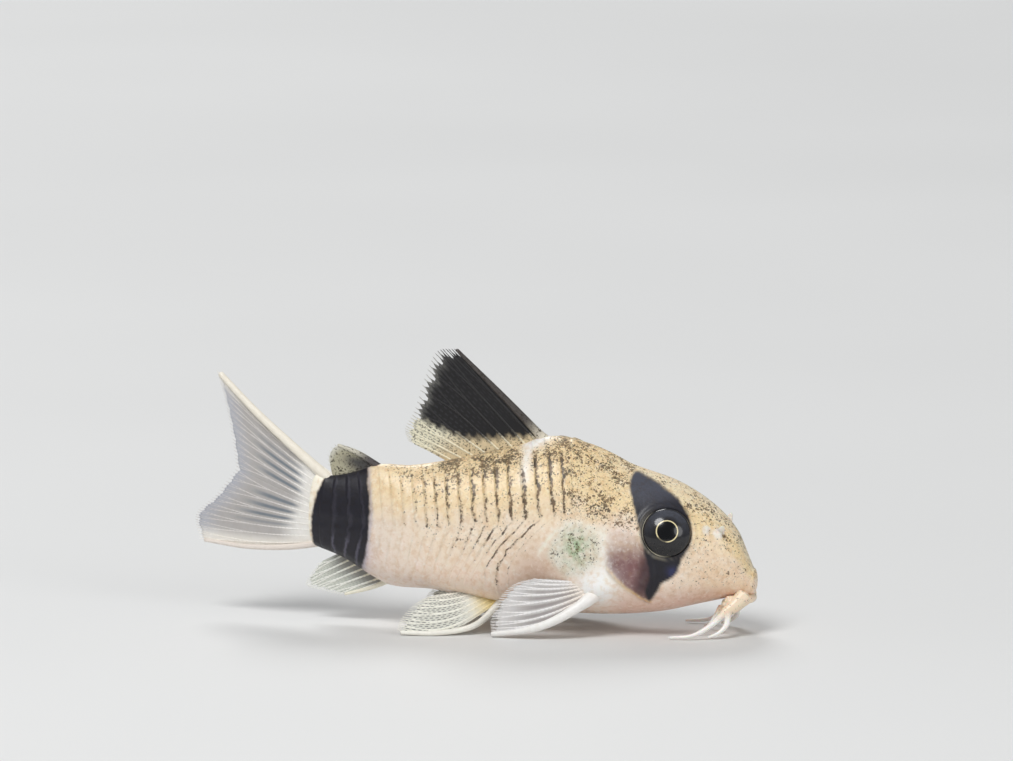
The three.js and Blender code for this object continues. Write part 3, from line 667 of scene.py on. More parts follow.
class SkinPaint:
    """Colours, specks and edge strengths of the skin's points, laid on zone by zone."""

    def __init__(self, points, station, flank, colours):
        self.points, self.station, self.flank, self.colours = points, station, flank, colours
        self.n1, self.n2, self.n3 = (wobble(points, scale, seed)
                                     for scale, seed in ((0.9, 1), (2.4, 2), (4.5, 4)))
        self.x = points[..., 0] + 0.10 * self.n2
        self.z = points[..., 2] + 0.10 * self.n1
        self.fine_x = points[..., 0] + 0.08 * self.n2 + 0.05 * self.n3
        self.fine_z = points[..., 2] + 0.08 * self.n1 + 0.05 * self.n3
        bottom, top = belly_z(station), back_z(station)
        self.level = (self.z - bottom) / (top - bottom)
        self.paint = np.broadcast_to(np.array(colours.belly), points.shape).copy()
        self.ground()
        self.gill_cover()
        self.green_patch()
        self.eye_patch()
        self.nostrils()
        self.tail_band()
        self.paint = np.clip(self.paint, 0, 1)

    def lay(self, colour, mask):
        """Lays a colour over the paint where the mask is 1."""
        self.paint = self.paint + (np.array(colour) - self.paint) * np.asarray(mask)[..., None]

    def ground(self):
        """Belly, flank and back, painted shade on the flank beside the pectoral fin, and the pale
        streak under the dorsal spine.
        """
        x, level = self.x, self.level
        self.lay(self.colours.flank, smooth(0.10, 0.40, level + 0.08 * self.n1))
        sandy = smooth(0.50, 0.80, level + 0.10 * self.n1) * smooth(-13, -7, x)
        self.lay(self.colours.back, sandy * (0.8 + 0.2 * smooth(-6, 4, x)))
        self.lay(CROWN, 0.6 * smooth(0.80, 1.0, level) * smooth(10, 17, x))
        self.lay(SNOUT, 0.5 * smooth(18, 22, x) * smooth(0.8, 0.3, level))
        self.lay(GREY_FLANK, 0.5 * smooth(-2, -9, x) * smooth(0.75, 0.4, level))
        # Painted shade: a soft darker patch on the lower flank beside the pectoral fin's upper edge
        self.lay(FLANK_PAINTED_SHADE, 0.75 * bulge(self.points, (6.3, 4.9, 5.6), 2.4))
        self.streak = bell(x, 4.9, 0.5) * smooth(12.6, 13.6, self.z)
        self.lay(PALE_STREAK, 0.85 * self.streak)

    def gill_cover(self):
        """Wine-coloured gill cover with painted silvery highlights and its gold rim, the shoulder's
        edge and the throat.
        """
        x, z, n1, n2 = self.x, self.z, self.n1, self.n2
        self.cover = region(rounded(GILL_COVER), x, z, 0.25)
        top = smooth(6.4, 9.3, z + 0.5 * n2)
        self.lay(self.colours.gill, self.cover * (0.97 - 0.65 * top))
        # Painted highlight: silvery patches on the gill cover's lower part
        gill_glints = smooth(0.05, 0.6, n2 + 0.4 * n1)
        self.lay(GILL_HIGHLIGHT, self.cover * gill_glints * 0.3 * (1 - top))
        self.lay(self.colours.dark, 0.7 * self.cover * smooth(14.4, 15.6, x - 0.25 * (z - 5)))
        self.lay(GILL_PINK, 0.55 * region(rounded(GILL_TOP), x, z, 0.9))
        self.lay(GILL_GOLD, near_line(GILL_RIM, x, z, 0.26) * 0.8 * smooth(-0.7, 0.2, n2))
        shoulder = bell(x, 12.15, 0.5) * smooth(10.2, 9, z) * smooth(3.0, 4.5, z)
        self.lay(SHOULDER_EDGE, shoulder * 0.85)
        self.lay(THROAT, 0.55 * smooth(0.24, 0.05, self.level) * smooth(11, 14, x))

    def green_patch(self):
        """Green patch behind the gill, and white skin at the pectoral base and dorsal spine."""
        x, z, n1, n2 = self.x, self.z, self.n1, self.n2
        self.patch = region(rounded(GREEN_PATCH), x, z, 0.4)
        self.lay(PATCH_GROUND, self.patch * 0.85)
        core = bell(x, 9.9, 1.1) * bell(z, 8.0, 1.7)
        self.lay(self.colours.green, self.patch * core * smooth(-0.5, 0.3, n2 + 0.4 * n1) * 0.85)
        self.lay(PATCH_EDGE, near_line(PATCH_BORDER, x, z, 0.34) * 0.85)
        self.base = bulge(self.points, (11.5, 5.2, 4.5), 1.6)
        self.lay(self.colours.white, np.clip((1.5 + 0.5 * n2) * self.base, 0, 1))
        self.knob = bulge(self.points, (5.5, 0.3, 16.6), 1.15)
        self.lay(self.colours.white, np.clip(1.5 * self.knob, 0, 0.95))

    def eye_patch(self):
        """Dark patch round the eye, with its blue spot, a painted bluish sheen on its upper part
        and a painted highlight on the eye socket's rim.
        """
        x, z = self.fine_x, self.fine_z
        self.mask = region(rounded(EYE_PATCH), x, z, 0.16)
        self.lay(self.colours.dark, self.mask)
        # Painted sheen: the mask turns bluish and lighter on its upper part, under the top light
        self.lay(MASK_TOP_SHEEN, 0.75 * self.mask * smooth(10.8, 13.2, z))
        self.lay(BLUE_SPOT, bell(x, 18.1, 0.42) * bell(z, 5.95, 0.42) * self.mask)
        ring = eye_distance(self.points)
        # Painted highlight: the eye socket's rim is paler behind and below the eye
        behind_below = smooth(-0.3, 0.9, (EYE_X - x) * 0.35 + (EYE_Z - z) * 0.2)
        self.lay(ORBIT_HIGHLIGHT, bell(ring, EYE_RADIUS + 0.09, 0.10) * 0.45 * behind_below)
        self.lay(self.colours.dark, 0.9 * (1 - smooth(EYE_RADIUS - 0.13, EYE_RADIUS, ring)))

    def nostrils(self):
        """Pale rims of the nostrils, and painted shade in their pits."""
        points = self.points
        flap = bulge(points, NOSTRILS[0], 0.42) + bulge(points, NOSTRILS[1], 0.5)
        self.flap = np.clip(flap, 0, 1)
        self.lay(NOSTRIL_RIM, smooth(0.25, 0.55, self.flap))
        # Painted shade: the nostril pits are darkened
        pit = bulge(points, (21.25, 2.6, 9.25), 0.2) + bulge(points, (22.3, 1.9, 8.85), 0.28)
        self.lay(NOSTRIL_PIT_SHADE, 0.8 * smooth(0.3, 0.8, np.clip(pit, 0, 1)))

    def tail_band(self):
        """Dark band of the tail root between two curved borders, and the cream behind it."""
        x, z, n3 = self.fine_x, self.fine_z, self.n3
        front = -9.15 - 0.035 * (z - 9.8) ** 2 + 0.14 * self.n1 + 0.10 * n3
        rear = -14.75 + 0.06 * (z - 8.4) ** 2 + 0.10 * n3
        ahead = 1 - smooth(front - 0.12, front + 0.12, x)
        self.band = ahead * smooth(rear - 0.1, rear + 0.2, x)
        self.lay(BAND_MAUVE, 0.6 * smooth(0.45, 0.2, self.level) * bell(x, front, 1.0))
        self.lay(BAND_EDGE, 0.55 * bell(x, front + 0.1, 0.22))
        self.lay(self.colours.dark, self.band)
        self.lay(TAIL_CREAM, 1 - smooth(rear - 0.15, rear + 0.15, x))

    def specks(self):
        """Density of the specks: most on the back and shoulder, and none on the patches."""
        x, z, level, n1, n2 = self.fine_x, self.fine_z, self.level, self.n1, self.n2
        shoulder = smooth(0.48, 0.70, level + 0.1 * n1) * smooth(6.5, 9, x)
        blotch = bell(x, 11.8, 2.2) * bell(z, 11.9, 0.9)
        zones = (
            0.48 * smooth(0.62, 0.9, level + 0.1 * n1) * smooth(-10, -6, x),
            0.8 * smooth(0.74, 0.95, level) * smooth(-8, -1, x) * (1 - smooth(9, 15, x)),
            0.26 * smooth(0.25, 0.5, level) * smooth(-9, 1, x) * (1 - smooth(5, 7, x)),
            (0.66 - 0.26 * smooth(13, 17, x)) * shoulder,
            0.30 * smooth(16, 19, x) * smooth(0.10, 0.3, level),
            0.75 * blotch * smooth(-0.4, 0.3, n2),
            0.52 * self.patch * (0.45 + 0.55 * smooth(-0.5, 0.3, n1 + n2)),
        )
        clear = np.clip(1.6 * self.base + 1.5 * self.knob + self.flap + 0.7 * self.streak, 0, 1)
        return (np.maximum.reduce(zones) * (1 - self.mask) * (1 - self.band) * (1 - 0.95 * clear)
                * (1 - 0.6 * self.cover))

    def edges(self):
        """Strength of the dark lines on the scutes' rear edges, above and below the midflank."""
        x, flank, station = self.fine_x, self.flank, self.station
        high = smooth(-0.01, 0.03, flank) * (1 - smooth(0.45, 0.72, flank)) * smooth(-9.5, -1, x)
        fade = lerp(-0.36, -0.62, smooth(2.5, 5, station))
        low = smooth(0.0, -0.03, flank) * smooth(0, 0.3, flank - fade) * (0.8 + 0.4 * self.n2)
        low = 1.15 * low * smooth(-6, 2, x) * (1 - smooth(5.9, 6.3, station))
        front = 0.8 + 0.4 * smooth(0, 5, x)
        return np.maximum(high, low) * front * (1 - self.band) * (1 - smooth(8.0, 8.3, station))

    def pale_edges(self):
        """Strength of the pale scute lines on the dark tail band."""
        lower = 0.2 + 0.8 * smooth(-0.1, -0.3, self.flank)
        return 0.55 * self.band * smooth(-13.8, -12.8, self.fine_x) * lower


def new_tree(name, inputs):
    """Empty geometry node tree and its inputs: the geometry, then the ones named."""
    tree = bpy.data.node_groups.new(name, "GeometryNodeTree")
    for label, kind in {"Geometry": "Geometry", **inputs}.items():
        tree.interface.new_socket(label, in_out="INPUT", socket_type="NodeSocket" + kind)
    tree.interface.new_socket("Geometry", in_out="OUTPUT", socket_type="NodeSocketGeometry")
    return tree, tree.nodes.new("NodeGroupInput").outputs


def end_tree(tree, geometry, material, shade_smooth=False):
    """Ends a tree: instances are made real, and the result takes its material."""
    last = add_node(tree, "GeometryNodeRealizeInstances", {"Geometry": geometry})
    if shade_smooth:
        last = add_node(tree, "GeometryNodeSetShadeSmooth", {"Geometry": last.outputs[0]})
    painted = add_node(tree, "GeometryNodeSetMaterial", {"Geometry": last.outputs[0],
                       "Material": material})
    out = tree.nodes.new("NodeGroupOutput")
    tree.links.new(painted.outputs[0], out.inputs[0])
    return tree


def named(tree, name):
    """Socket of a point attribute in geometry nodes."""
    node = add_node(tree, "GeometryNodeInputNamedAttribute", {"Name": name}, data_type="FLOAT")
    return node.outputs[0]


def scute_tree(material):
    """Geometry nodes that raise each scute's plate towards its rear edge."""
    tree, given = new_tree("scute_relief", {"Rise": "Float", "Step": "Float"})
    phase = maths(tree, "FRACT", named(tree, "scute"))
    climb = maths(tree, "POWER", phase, 0.7)
    past = maths(tree, "SUBTRACT", phase, inverse(tree, given["Step"]))
    drop = maths(tree, "DIVIDE", maths(tree, "MAXIMUM", past, 0.0), given["Step"])
    shape = times(tree, climb, inverse(tree, drop))
    lift = times(tree, times(tree, shape, named(tree, "plates")), given["Rise"])
    normal = add_node(tree, "GeometryNodeInputNormal").outputs[0]
    offset = add_node(tree, "ShaderNodeVectorMath", {0: normal, "Scale": lift}, operation="SCALE")
    moved = add_node(tree, "GeometryNodeSetPosition", {"Geometry": given["Geometry"],
                     "Offset": offset.outputs[0]})
    return end_tree(tree, moved.outputs[0], material)


def apply_tree(obj, tree, values):
    """Runs a geometry node tree on an object, with inputs given by name, and keeps its mesh."""
    modifier = obj.modifiers.new(tree.name, "NODES")
    modifier.node_group = tree
    for item in tree.interface.items_tree:
        if item.item_type == "SOCKET" and item.in_out == "INPUT" and item.name in values:
            modifier[item.identifier] = values[item.name]
    return evaluated(obj)


def skin_faces(rows, columns):
    """Faces of the skin: its grid, the flat cap at the tail, and the fan at the nose's pole."""
    faces = grid_faces(rows, columns, wrap=True)
    for k in range(UPPER_COLUMNS + LOWER_COLUMNS):
        mirror, above_mirror = (columns - k) % columns, columns - k - 1
        faces.append((k, mirror, above_mirror, k + 1))
    last, pole = (rows - 1) * columns, rows * columns
    faces.extend((last + k, last + (k + 1) % columns, pole) for k in range(columns))
    return [tuple(dict.fromkeys(face)) for face in faces]


def plate_strength(station, number, flank):
    """How far the scutes' relief shows: full on both rows, fading at their ends and edges."""
    high = smooth(0.02, 0.1, flank) * (1 - smooth(0.86, 0.97, flank))
    low = smooth(0.02, 0.1, -flank) * smooth(-0.68, -0.5, flank) * (1 - smooth(4.5, 7, station))
    return np.where(flank > 0, high, low) * smooth(0, 0.6, number) * lerp(
        0.4, 1, smooth(-10, 2, station))


class CORY_OT_skin(bpy.types.Operator):
    """One skin over head, torso and tail, with raised scutes and all markings"""
    bl_idname = "cory.skin"
    bl_label = "Skin and scutes"

    def execute(self, context):
        sizes = context.scene.cory_body
        points, station, number, flank = skin_grid(sizes)
        points = points + grid_normals(points) * head_relief(points)[..., None]
        painted = SkinPaint(points, station, flank, context.scene.cory_skin)
        rows, columns = points.shape[:2]
        pole = points[-1].mean(axis=0) + POLE_LIFT
        skin = new_mesh("skin", np.vstack([points.reshape(-1, 3), pole]),
                        skin_faces(rows, columns))
        grids = {"scute": number, "plates": plate_strength(station, number, flank),
                 "specks": painted.specks(), "edges": painted.edges(),
                 "pale_edges": painted.pale_edges()}
        for name, grid in grids.items():
            store(skin, name, np.append(grid.ravel(), grid.ravel()[-1]))
        paint = painted.paint
        store(skin, "paint", np.vstack([paint.reshape(-1, 3), paint[-1, -1]]), "FLOAT_COLOR")
        orient(skin)
        apply_tree(skin, scute_tree(skin_material()),
                   {"Rise": sizes.scute_rise, "Step": sizes.scute_step})
        place_piece(skin, "flank_skin", "head", "torso", "tail_peduncle")
        return {"FINISHED"}


# Fins

def spline(points, t):
    """Point at t (0 to 1) of a centripetal curve through points."""
    points = [np.array(p, float) for p in points]
    last = len(points) - 1
    at = min(max(t, 0), 1) * last
    i = min(int(at), last - 1)
    w = at - i
    p1, p2 = points[i], points[i + 1]
    p0 = points[i - 1] if i else 2 * p1 - p2
    p3 = points[i + 2] if i + 2 <= last else 2 * p2 - p1
    d0, d1, d2 = (max(np.linalg.norm(b - a), 1e-6) ** 0.5
                  for a, b in ((p0, p1), (p1, p2), (p2, p3)))
    m1 = ((p1 - p0) / d0 - (p2 - p0) / (d0 + d1) + (p2 - p1) / d1) * d1
    m2 = ((p2 - p1) / d1 - (p3 - p1) / (d1 + d2) + (p3 - p2) / d2) * d1
    w2, w3 = w * w, w * w * w
    return ((2 * w3 - 3 * w2 + 1) * p1 + (w3 - 2 * w2 + w) * m1
            + (3 * w2 - 2 * w3) * p2 + (w3 - w2) * m2)


def mid(*places):
    """Points in the fish's middle plane, from (x, z) pairs."""
    return [(x, float(bend_y(x)), z) for x, z in places]


def swell(offset, at_first_ray=True):
    """Bow of a blade: an offset half way up its first or last ray, fading towards the other."""
    def bow(s, u):
        return np.array(offset) * math.sin(math.pi * u) * (1 - s if at_first_ray else s)
    return bow


def taper(root, tip, knob=0.0, knob_end=1.0, power=1.0, start=1.0, start_end=1.0):
    """Radius along a bar: from root to tip, thicker by knob at its root up to knob_end, and
    narrowed to the share start at its very root up to start_end."""
    def radius(t):
        return (lerp(root, tip, t) + knob * max(0, 1 - t / knob_end) ** power) * min(
            1, start + t / start_end)
    return radius


def between_rays(s, rays):
    """0 on a ray's line and 1 half way to the next ray."""
    return abs(2 * ((s * rays) % 1) - 1)


class Blade:
    """Surface of a fin from its root line to its margin, with rays from root to margin."""

    def __init__(self, roots, margin, rays, bow=None, notch=0.06):
        self.roots, self.margin, self.rays = roots, margin, rays
        self.bow, self.notch = bow, notch

    def point(self, s, u):
        p = lerp(spline(self.roots, s), spline(self.margin, s), u)
        return p + np.array(self.bow(s, u)) if self.bow else p

    def reach(self, s):
        """How far the membrane reaches: to 1 on a ray tip, less between tips."""
        gap = between_rays(s, self.rays) ** 3
        branch = 0.7 * (0.5 + 0.5 * math.cos(8 * math.pi * s * self.rays))
        return 1 - self.notch * min(1, gap + branch)

    def sheet(self, thickness, rows=36, per_ray=16):
        """Closed thin mesh of the membrane, with each point's s and u."""
        count = self.rays * per_ray
        s_values = np.linspace(0, 1, count + 1)
        grid = np.array([[self.point(s, u * self.reach(s)) for u in np.linspace(0, 1, rows + 1)]
                         for s in s_values])
        normal = np.cross(np.gradient(grid, axis=0), np.gradient(grid, axis=1))
        normal /= np.maximum(np.linalg.norm(normal, axis=-1, keepdims=True), 1e-9)
        u = np.broadcast_to(np.linspace(0, 1, rows + 1), grid.shape[:2])
        s = np.broadcast_to(s_values[:, None], grid.shape[:2])
        edge = np.minimum(1, 14 * np.minimum(s, 1 - s) + 0.15)
        half = 0.5 * thickness * lerp(1.5, 0.45, u) * edge
        front, rear = grid + normal * half[..., None], grid - normal * half[..., None]
        n, m = grid.shape[:2]
        faces = grid_faces(n, m)
        shift = n * m
        faces += [tuple(shift + k for k in f[::-1]) for f in grid_faces(n, m)]
        ring = ([i * m for i in range(n)] + [(n - 1) * m + j for j in range(1, m)]
                + [i * m + m - 1 for i in range(n - 2, -1, -1)] + list(range(m - 2, 0, -1)))
        for a, b in zip(ring, ring[1:] + ring[:1]):
            faces.append((b, a, shift + a, shift + b))
        points = np.concatenate([front.reshape(-1, 3), rear.reshape(-1, 3)])
        return points, faces, np.tile(s.ravel(), 2), np.tile(u.ravel(), 2)

    def ray_lines(self, radius, first_fork=0.52, second_fork=0.78):
        """Polylines of the branched rays, as lists of (point, radius, s, u)."""
        lines = []
        for i in range(self.rays):
            centre = i + 0.5

            def run(b, c, start, end, r0, r1):
                line = []
                for k in range(9):
                    u = lerp(start, end, k / 8)
                    spread = 0.25 * b * float(smooth(first_fork, 1.0, u))
                    spread += 0.12 * c * float(smooth(second_fork, 1.05, u))
                    s = (centre + spread) / self.rays
                    line.append((self.point(s, u), lerp(r0, r1, k / 8), s, u))
                lines.append(line)

            run(0, 0, 0.0, first_fork, radius, 0.85 * radius)
            for b in (-1, 1):
                run(b, 0, first_fork, second_fork, 0.70 * radius, 0.58 * radius)
                for c in (-1, 1):
                    run(b, c, second_fork, 1.0, 0.50 * radius, 0.26 * radius)
        return lines


def ray_tree(material):
    """Geometry nodes that string bony joints along each ray's line."""
    tree, given = new_tree("fin_rays", {"Joint length": "Float", "Joint sides": "Int"})
    curve = add_node(tree, "GeometryNodeMeshToCurve", {"Mesh": given["Geometry"]})
    joints = add_node(tree, "GeometryNodeResampleCurve", {"Curve": curve.outputs[0],
                      "Length": given["Joint length"]}, mode="LENGTH")
    bead = add_node(tree, "GeometryNodeMeshUVSphere", {"Segments": given["Joint sides"],
                    "Rings": 5, "Radius": 1.0})
    tangent = add_node(tree, "GeometryNodeInputTangent").outputs[0]
    turn = add_node(tree, "FunctionNodeAlignRotationToVector", {"Vector": tangent}, axis="Z")
    radius = named(tree, "ray_radius")
    length = times(tree, given["Joint length"], 0.85)
    size = add_node(tree, "ShaderNodeCombineXYZ", {0: radius, 1: radius, 2: length})
    strung = add_node(tree, "GeometryNodeInstanceOnPoints", {"Points": joints.outputs[0],
                      "Instance": bead.outputs["Mesh"], "Rotation": turn.outputs[0],
                      "Scale": size.outputs[0]})
    return end_tree(tree, strung.outputs[0], material, shade_smooth=True)


BAR_SIDE = (0.3, 0.5, 0.81)


def bar(path, radius, steps=40, sides=12, flat=1.0):
    """Points and faces of a round bar along a curve, with its radius given along the way."""
    centres = np.array([spline(path, i / steps) for i in range(steps + 1)])
    tangents = np.gradient(centres, axis=0)
    tangents /= np.linalg.norm(tangents, axis=1, keepdims=True)
    across = np.cross(tangents[0], BAR_SIDE)
    points = []
    for i, (centre, tangent) in enumerate(zip(centres, tangents)):
        across = across - tangent * (across @ tangent)
        across /= np.linalg.norm(across)
        other = np.cross(tangent, across)
        t = i / steps
        r = radius(t)
        for k in range(sides):
            angle = 2 * math.pi * k / sides
            points.append(centre + r * (math.cos(angle) * across + flat * math.sin(angle) * other))
    faces = grid_faces(steps + 1, sides, wrap=True)
    for end, ring in ((0, range(sides)), (1, range(steps * sides, (steps + 1) * sides))):
        tip = len(points)
        lead = tangents[-1 if end else 0] * radius(end) * (0.7 if end else -0.7)
        points.append(centres[-1 if end else 0] + lead)
        ring = list(ring)
        for a, b in zip(ring, ring[1:] + ring[:1]):
            faces.append((a, b, tip) if end else (b, a, tip))
    return np.array(points), faces


def join_data(parts):
    """One set of points and faces from several."""
    points, faces, offset = [], [], 0
    for part_points, part_faces in parts:
        points.append(part_points)
        faces.extend(tuple(offset + k for k in f) for f in part_faces)
        offset += len(part_points)
    return np.concatenate(points), faces


def make_fin(context, name, slot, blade, colour, nodes, spine=None, spine_colour=None,
             alpha=0.8, ray_scale=1.0, specks=None, dashes=0.0):
    """Membrane, jointed rays and spine of one fin, as separate pieces. colour and specks take a
    point in millimetres, its place s and u on the blade, and whether it is on a ray."""
    sizes = context.scene.cory_fins

    def dress(obj, points, s, u, on_ray):
        tones = [colour(p, a, b, on_ray) for p, a, b in zip(points, s, u)]
        store(obj, "paint", tones, "FLOAT_COLOR")
        amount = 0.35 if on_ray else 1.0
        store(obj, "specks", [amount * specks(p, b) if specks else 0 for p, b in zip(points, u)])
        store(obj, "ray_number", np.array(s) * blade.rays)
        store(obj, "ray_share", u)
        store(obj, "dashes", [0 if on_ray else dashes * float(smooth(0.28, 0.5, b)) for b in u])

    points, faces, s, u = blade.sheet(sizes.membrane / MM)
    sheet = new_mesh(name, points, faces)
    dress(sheet, points, s, u, False)
    orient(sheet)
    sheet.data.materials.append(fin_material(name + "_membrane", alpha))
    place_piece(sheet, slot, *nodes)

    lines = blade.ray_lines(ray_scale * sizes.ray / MM)
    joints = [joint for line in lines for joint in line]
    edges, offset = [], 0
    for line in lines:
        edges.extend((offset + k, offset + k + 1) for k in range(len(line) - 1))
        offset += len(line)
    places, radii, s, u = zip(*joints)
    rays = new_mesh(name + "_rays", places, [], edges=edges)
    store(rays, "ray_radius", np.array(radii) * MM)
    dress(rays, places, s, u, True)
    apply_tree(rays, ray_tree(fin_material(name + "_ray", 1.0, 0.35)),
               {"Joint length": sizes.joint, "Joint sides": 7})
    place_piece(rays, slot)

    if spine:
        points, faces = bar(*spine)
        bone = new_mesh(name + "_spine", points, faces)
        share = np.arange(len(points)) / len(points)
        tones = [spine_colour(t) if callable(spine_colour) else spine_colour for t in share]
        store(bone, "paint", tones, "FLOAT_COLOR")
        store(bone, "specks", [SPINE_SPECKS if specks else 0] * len(points))
        orient(bone)
        bone.data.materials.append(fin_material(name + "_spine", 1.0, 0.3))
        place_piece(bone, slot)


def blend(a, b, t):
    """Tone at t between two tones."""
    return tuple(p + (q - p) * float(t) for p, q in zip(a, b))


def between(a, b, low, high):
    """Function of a share that blends from one tone to another between two limits."""
    return lambda t: blend(a, b, smooth(low, high, t))


# Lower limit of the black on the dorsal fin, in side view
DORSAL_BLACK = [(-6, 18.8), (-4.9, 18.2), (-4, 17.6), (-2.4, 17.0), (-1, 16.5), (1.2, 16.5),
                (4.1, 16.8), (7, 17)]
SPINE_SPECKS = 0.45
DORSAL_RAYS, CAUDAL_RAYS, PECTORAL_RAYS = 8, 7, 8

# Tones of the fins
SAND, PALE_SAND, RAY_SAND = (0.74, 0.60, 0.38), (0.84, 0.80, 0.62), (0.92, 0.88, 0.70)
BLACK, RAY_BLACK, TIP_GREY = (0.012, 0.011, 0.012), (0.032, 0.031, 0.032), (0.62, 0.61, 0.56)
DORSAL_SPINE = between((0.92, 0.84, 0.68), (0.085, 0.075, 0.070), 0.06, 0.32)
OLIVE, DUSK, OLIVE_EDGE = (0.46, 0.43, 0.31), (0.03, 0.03, 0.04), (0.78, 0.77, 0.70)
ADIPOSE_SPINE = between((0.10, 0.09, 0.09), (0.62, 0.59, 0.48), 0.25, 0.6)
CAUDAL_BASE = between((0.97, 0.86, 0.62), (0.97, 0.95, 0.91), 0.02, 0.12)
CAUDAL_SHEET = between((0.50, 0.475, 0.46), (0.50, 0.51, 0.56), 0.8, 1.0)
CAUDAL_RAY, CAUDAL_SLIT = (0.66, 0.63, 0.61), (0.16, 0.20, 0.24)
RAY_EDGE, SHEET_EDGE = (0.95, 0.91, 0.84), (0.93, 0.89, 0.82)
UPPER_EDGE_BAR, LOWER_EDGE_BAR = (0.94, 0.88, 0.76), (0.84, 0.76, 0.69)
ANAL_RAY = between((0.80, 0.70, 0.50), (0.90, 0.90, 0.84), 0.1, 0.5)
# Anal membrane: painted shade makes it dark grey at its base under the body, then it pales to its
# own whitish tone
ANAL_SHEET_WITH_SHADE = between((0.26, 0.25, 0.22), (0.74, 0.76, 0.68), 0.25, 0.8)
ANAL_SPINE, PELVIC_SPINE = (0.90, 0.86, 0.72), (0.93, 0.91, 0.83)
PECTORAL_SHEET = between((0.90, 0.82, 0.74), (0.80, 0.78, 0.77), 0.1, 0.5)
PECTORAL_RAY, PECTORAL_SLIT = (0.93, 0.91, 0.90), (0.30, 0.26, 0.25)
PECTORAL_SPINE = between((0.93, 0.84, 0.76), (0.95, 0.93, 0.90), 0.1, 0.3)
PELVIC_SHEET = between((0.92, 0.72, 0.26), (0.92, 0.91, 0.82), 0.02, 0.35)
PELVIC_GREY = (0.70, 0.70, 0.63)


def above(line, x, z):
    """Height of a point over a polyline that runs towards +X."""
    return z - np.interp(x, [p[0] for p in line], [p[1] for p in line])


def dorsal_colour(p, s, u, ray):
    height = above(DORSAL_BLACK, p[0], p[2]) + 0.25 * math.sin(7 * p[0]) * math.cos(5 * p[2])
    sand = blend(SAND, PALE_SAND, smooth(0.3, 0.75, u))
    sand = blend(sand, RAY_SAND, 0.6) if ray else sand
    tone = blend(sand, RAY_BLACK if ray else BLACK, smooth(-0.35, 0.45, height))
    tip = float(smooth(0.90, 1.0, u)) * float(smooth(0.05, 0.4, s))
    return blend(tone, TIP_GREY, tip * (0.8 if ray else 0.25))


def dorsal_specks(p, u):
    return 0.45 * float(1 - smooth(-0.2, 0.8, above(DORSAL_BLACK, p[0], p[2])))


def adipose_colour(p, s, u, ray):
    dusk = float((1 - smooth(0.45, 0.85, u)) * (1 - smooth(0.25, 0.65, s)))
    return blend(blend(OLIVE, DUSK, 0.9 * dusk), OLIVE_EDGE, smooth(0.80, 1.0, u) * 0.7)


class CORY_OT_dorsal(bpy.types.Operator):
    """Dorsal fin with its spine, and the adipose fin"""
    bl_idname = "cory.dorsal_fins"
    bl_label = "Dorsal and adipose fins"

    def execute(self, context):
        blade = Blade(mid((6.9, 15.7), (2.4, 14.7), (-1.7, 14)),
                      mid((-1.6, 24.3), (-3.2, 24.1), (-4.3, 21.9), (-5.3, 18.8), (-6.1, 17.2),
                          (-5.8, 16.1)),
                      DORSAL_RAYS, swell((0, 0.35, 0), at_first_ray=False), notch=0.07)
        spine = (mid((7, 15.7), (2.7, 20.1), (-1.7, 24.4)), taper(0.42, 0.15, 0.4, 0.2, 1.5),
                 60, 14)
        make_fin(context, "dorsal_fin_skin", "dorsal_fin", blade, dorsal_colour, ["dorsal_fin"],
                 spine, DORSAL_SPINE, alpha=0.96, specks=dorsal_specks, dashes=0.6)

        blade = Blade(mid((-8.3, 13.5), (-12.7, 12.2)),
                      mid((-11.3, 15.2), (-12.6, 15.5), (-13.2, 14.6), (-13.1, 13.6)),
                      2, notch=0)
        spine = (mid((-8.3, 13.6), (-10.6, 15), (-12.4, 15.65)), taper(0.34, 0.14), 30, 10)
        make_fin(context, "adipose_fin_skin", "adipose_fin", blade, adipose_colour,
                 ["adipose_fin"], spine, ADIPOSE_SPINE, alpha=0.97, ray_scale=0.6,
                 specks=lambda p, u: 0.5)
        return {"FINISHED"}


def caudal_colour(p, inner, u, ray):
    """Tone of a tail lobe, where inner is 0 at its outer edge and 1 at the fork."""
    edge = float(1 - smooth(0.06, 0.26, inner))
    if ray:
        return blend(blend(CAUDAL_BASE(u), CAUDAL_RAY, smooth(0.2, 0.5, u)), RAY_EDGE, edge)
    slit = float(smooth(0.40, 0.90, between_rays(inner, CAUDAL_RAYS)) * smooth(0.22, 0.34, u)
                 * (1 - smooth(0.55, 0.85, u)) * smooth(0.30, 0.55, inner)
                 * (1 - smooth(0.95, 0.98, inner)))
    tone = blend(CAUDAL_BASE(u), CAUDAL_SHEET(u), smooth(0.18, 0.40, u))
    return blend(blend(tone, SHEET_EDGE, 0.9 * edge), CAUDAL_SLIT, 0.85 * slit)


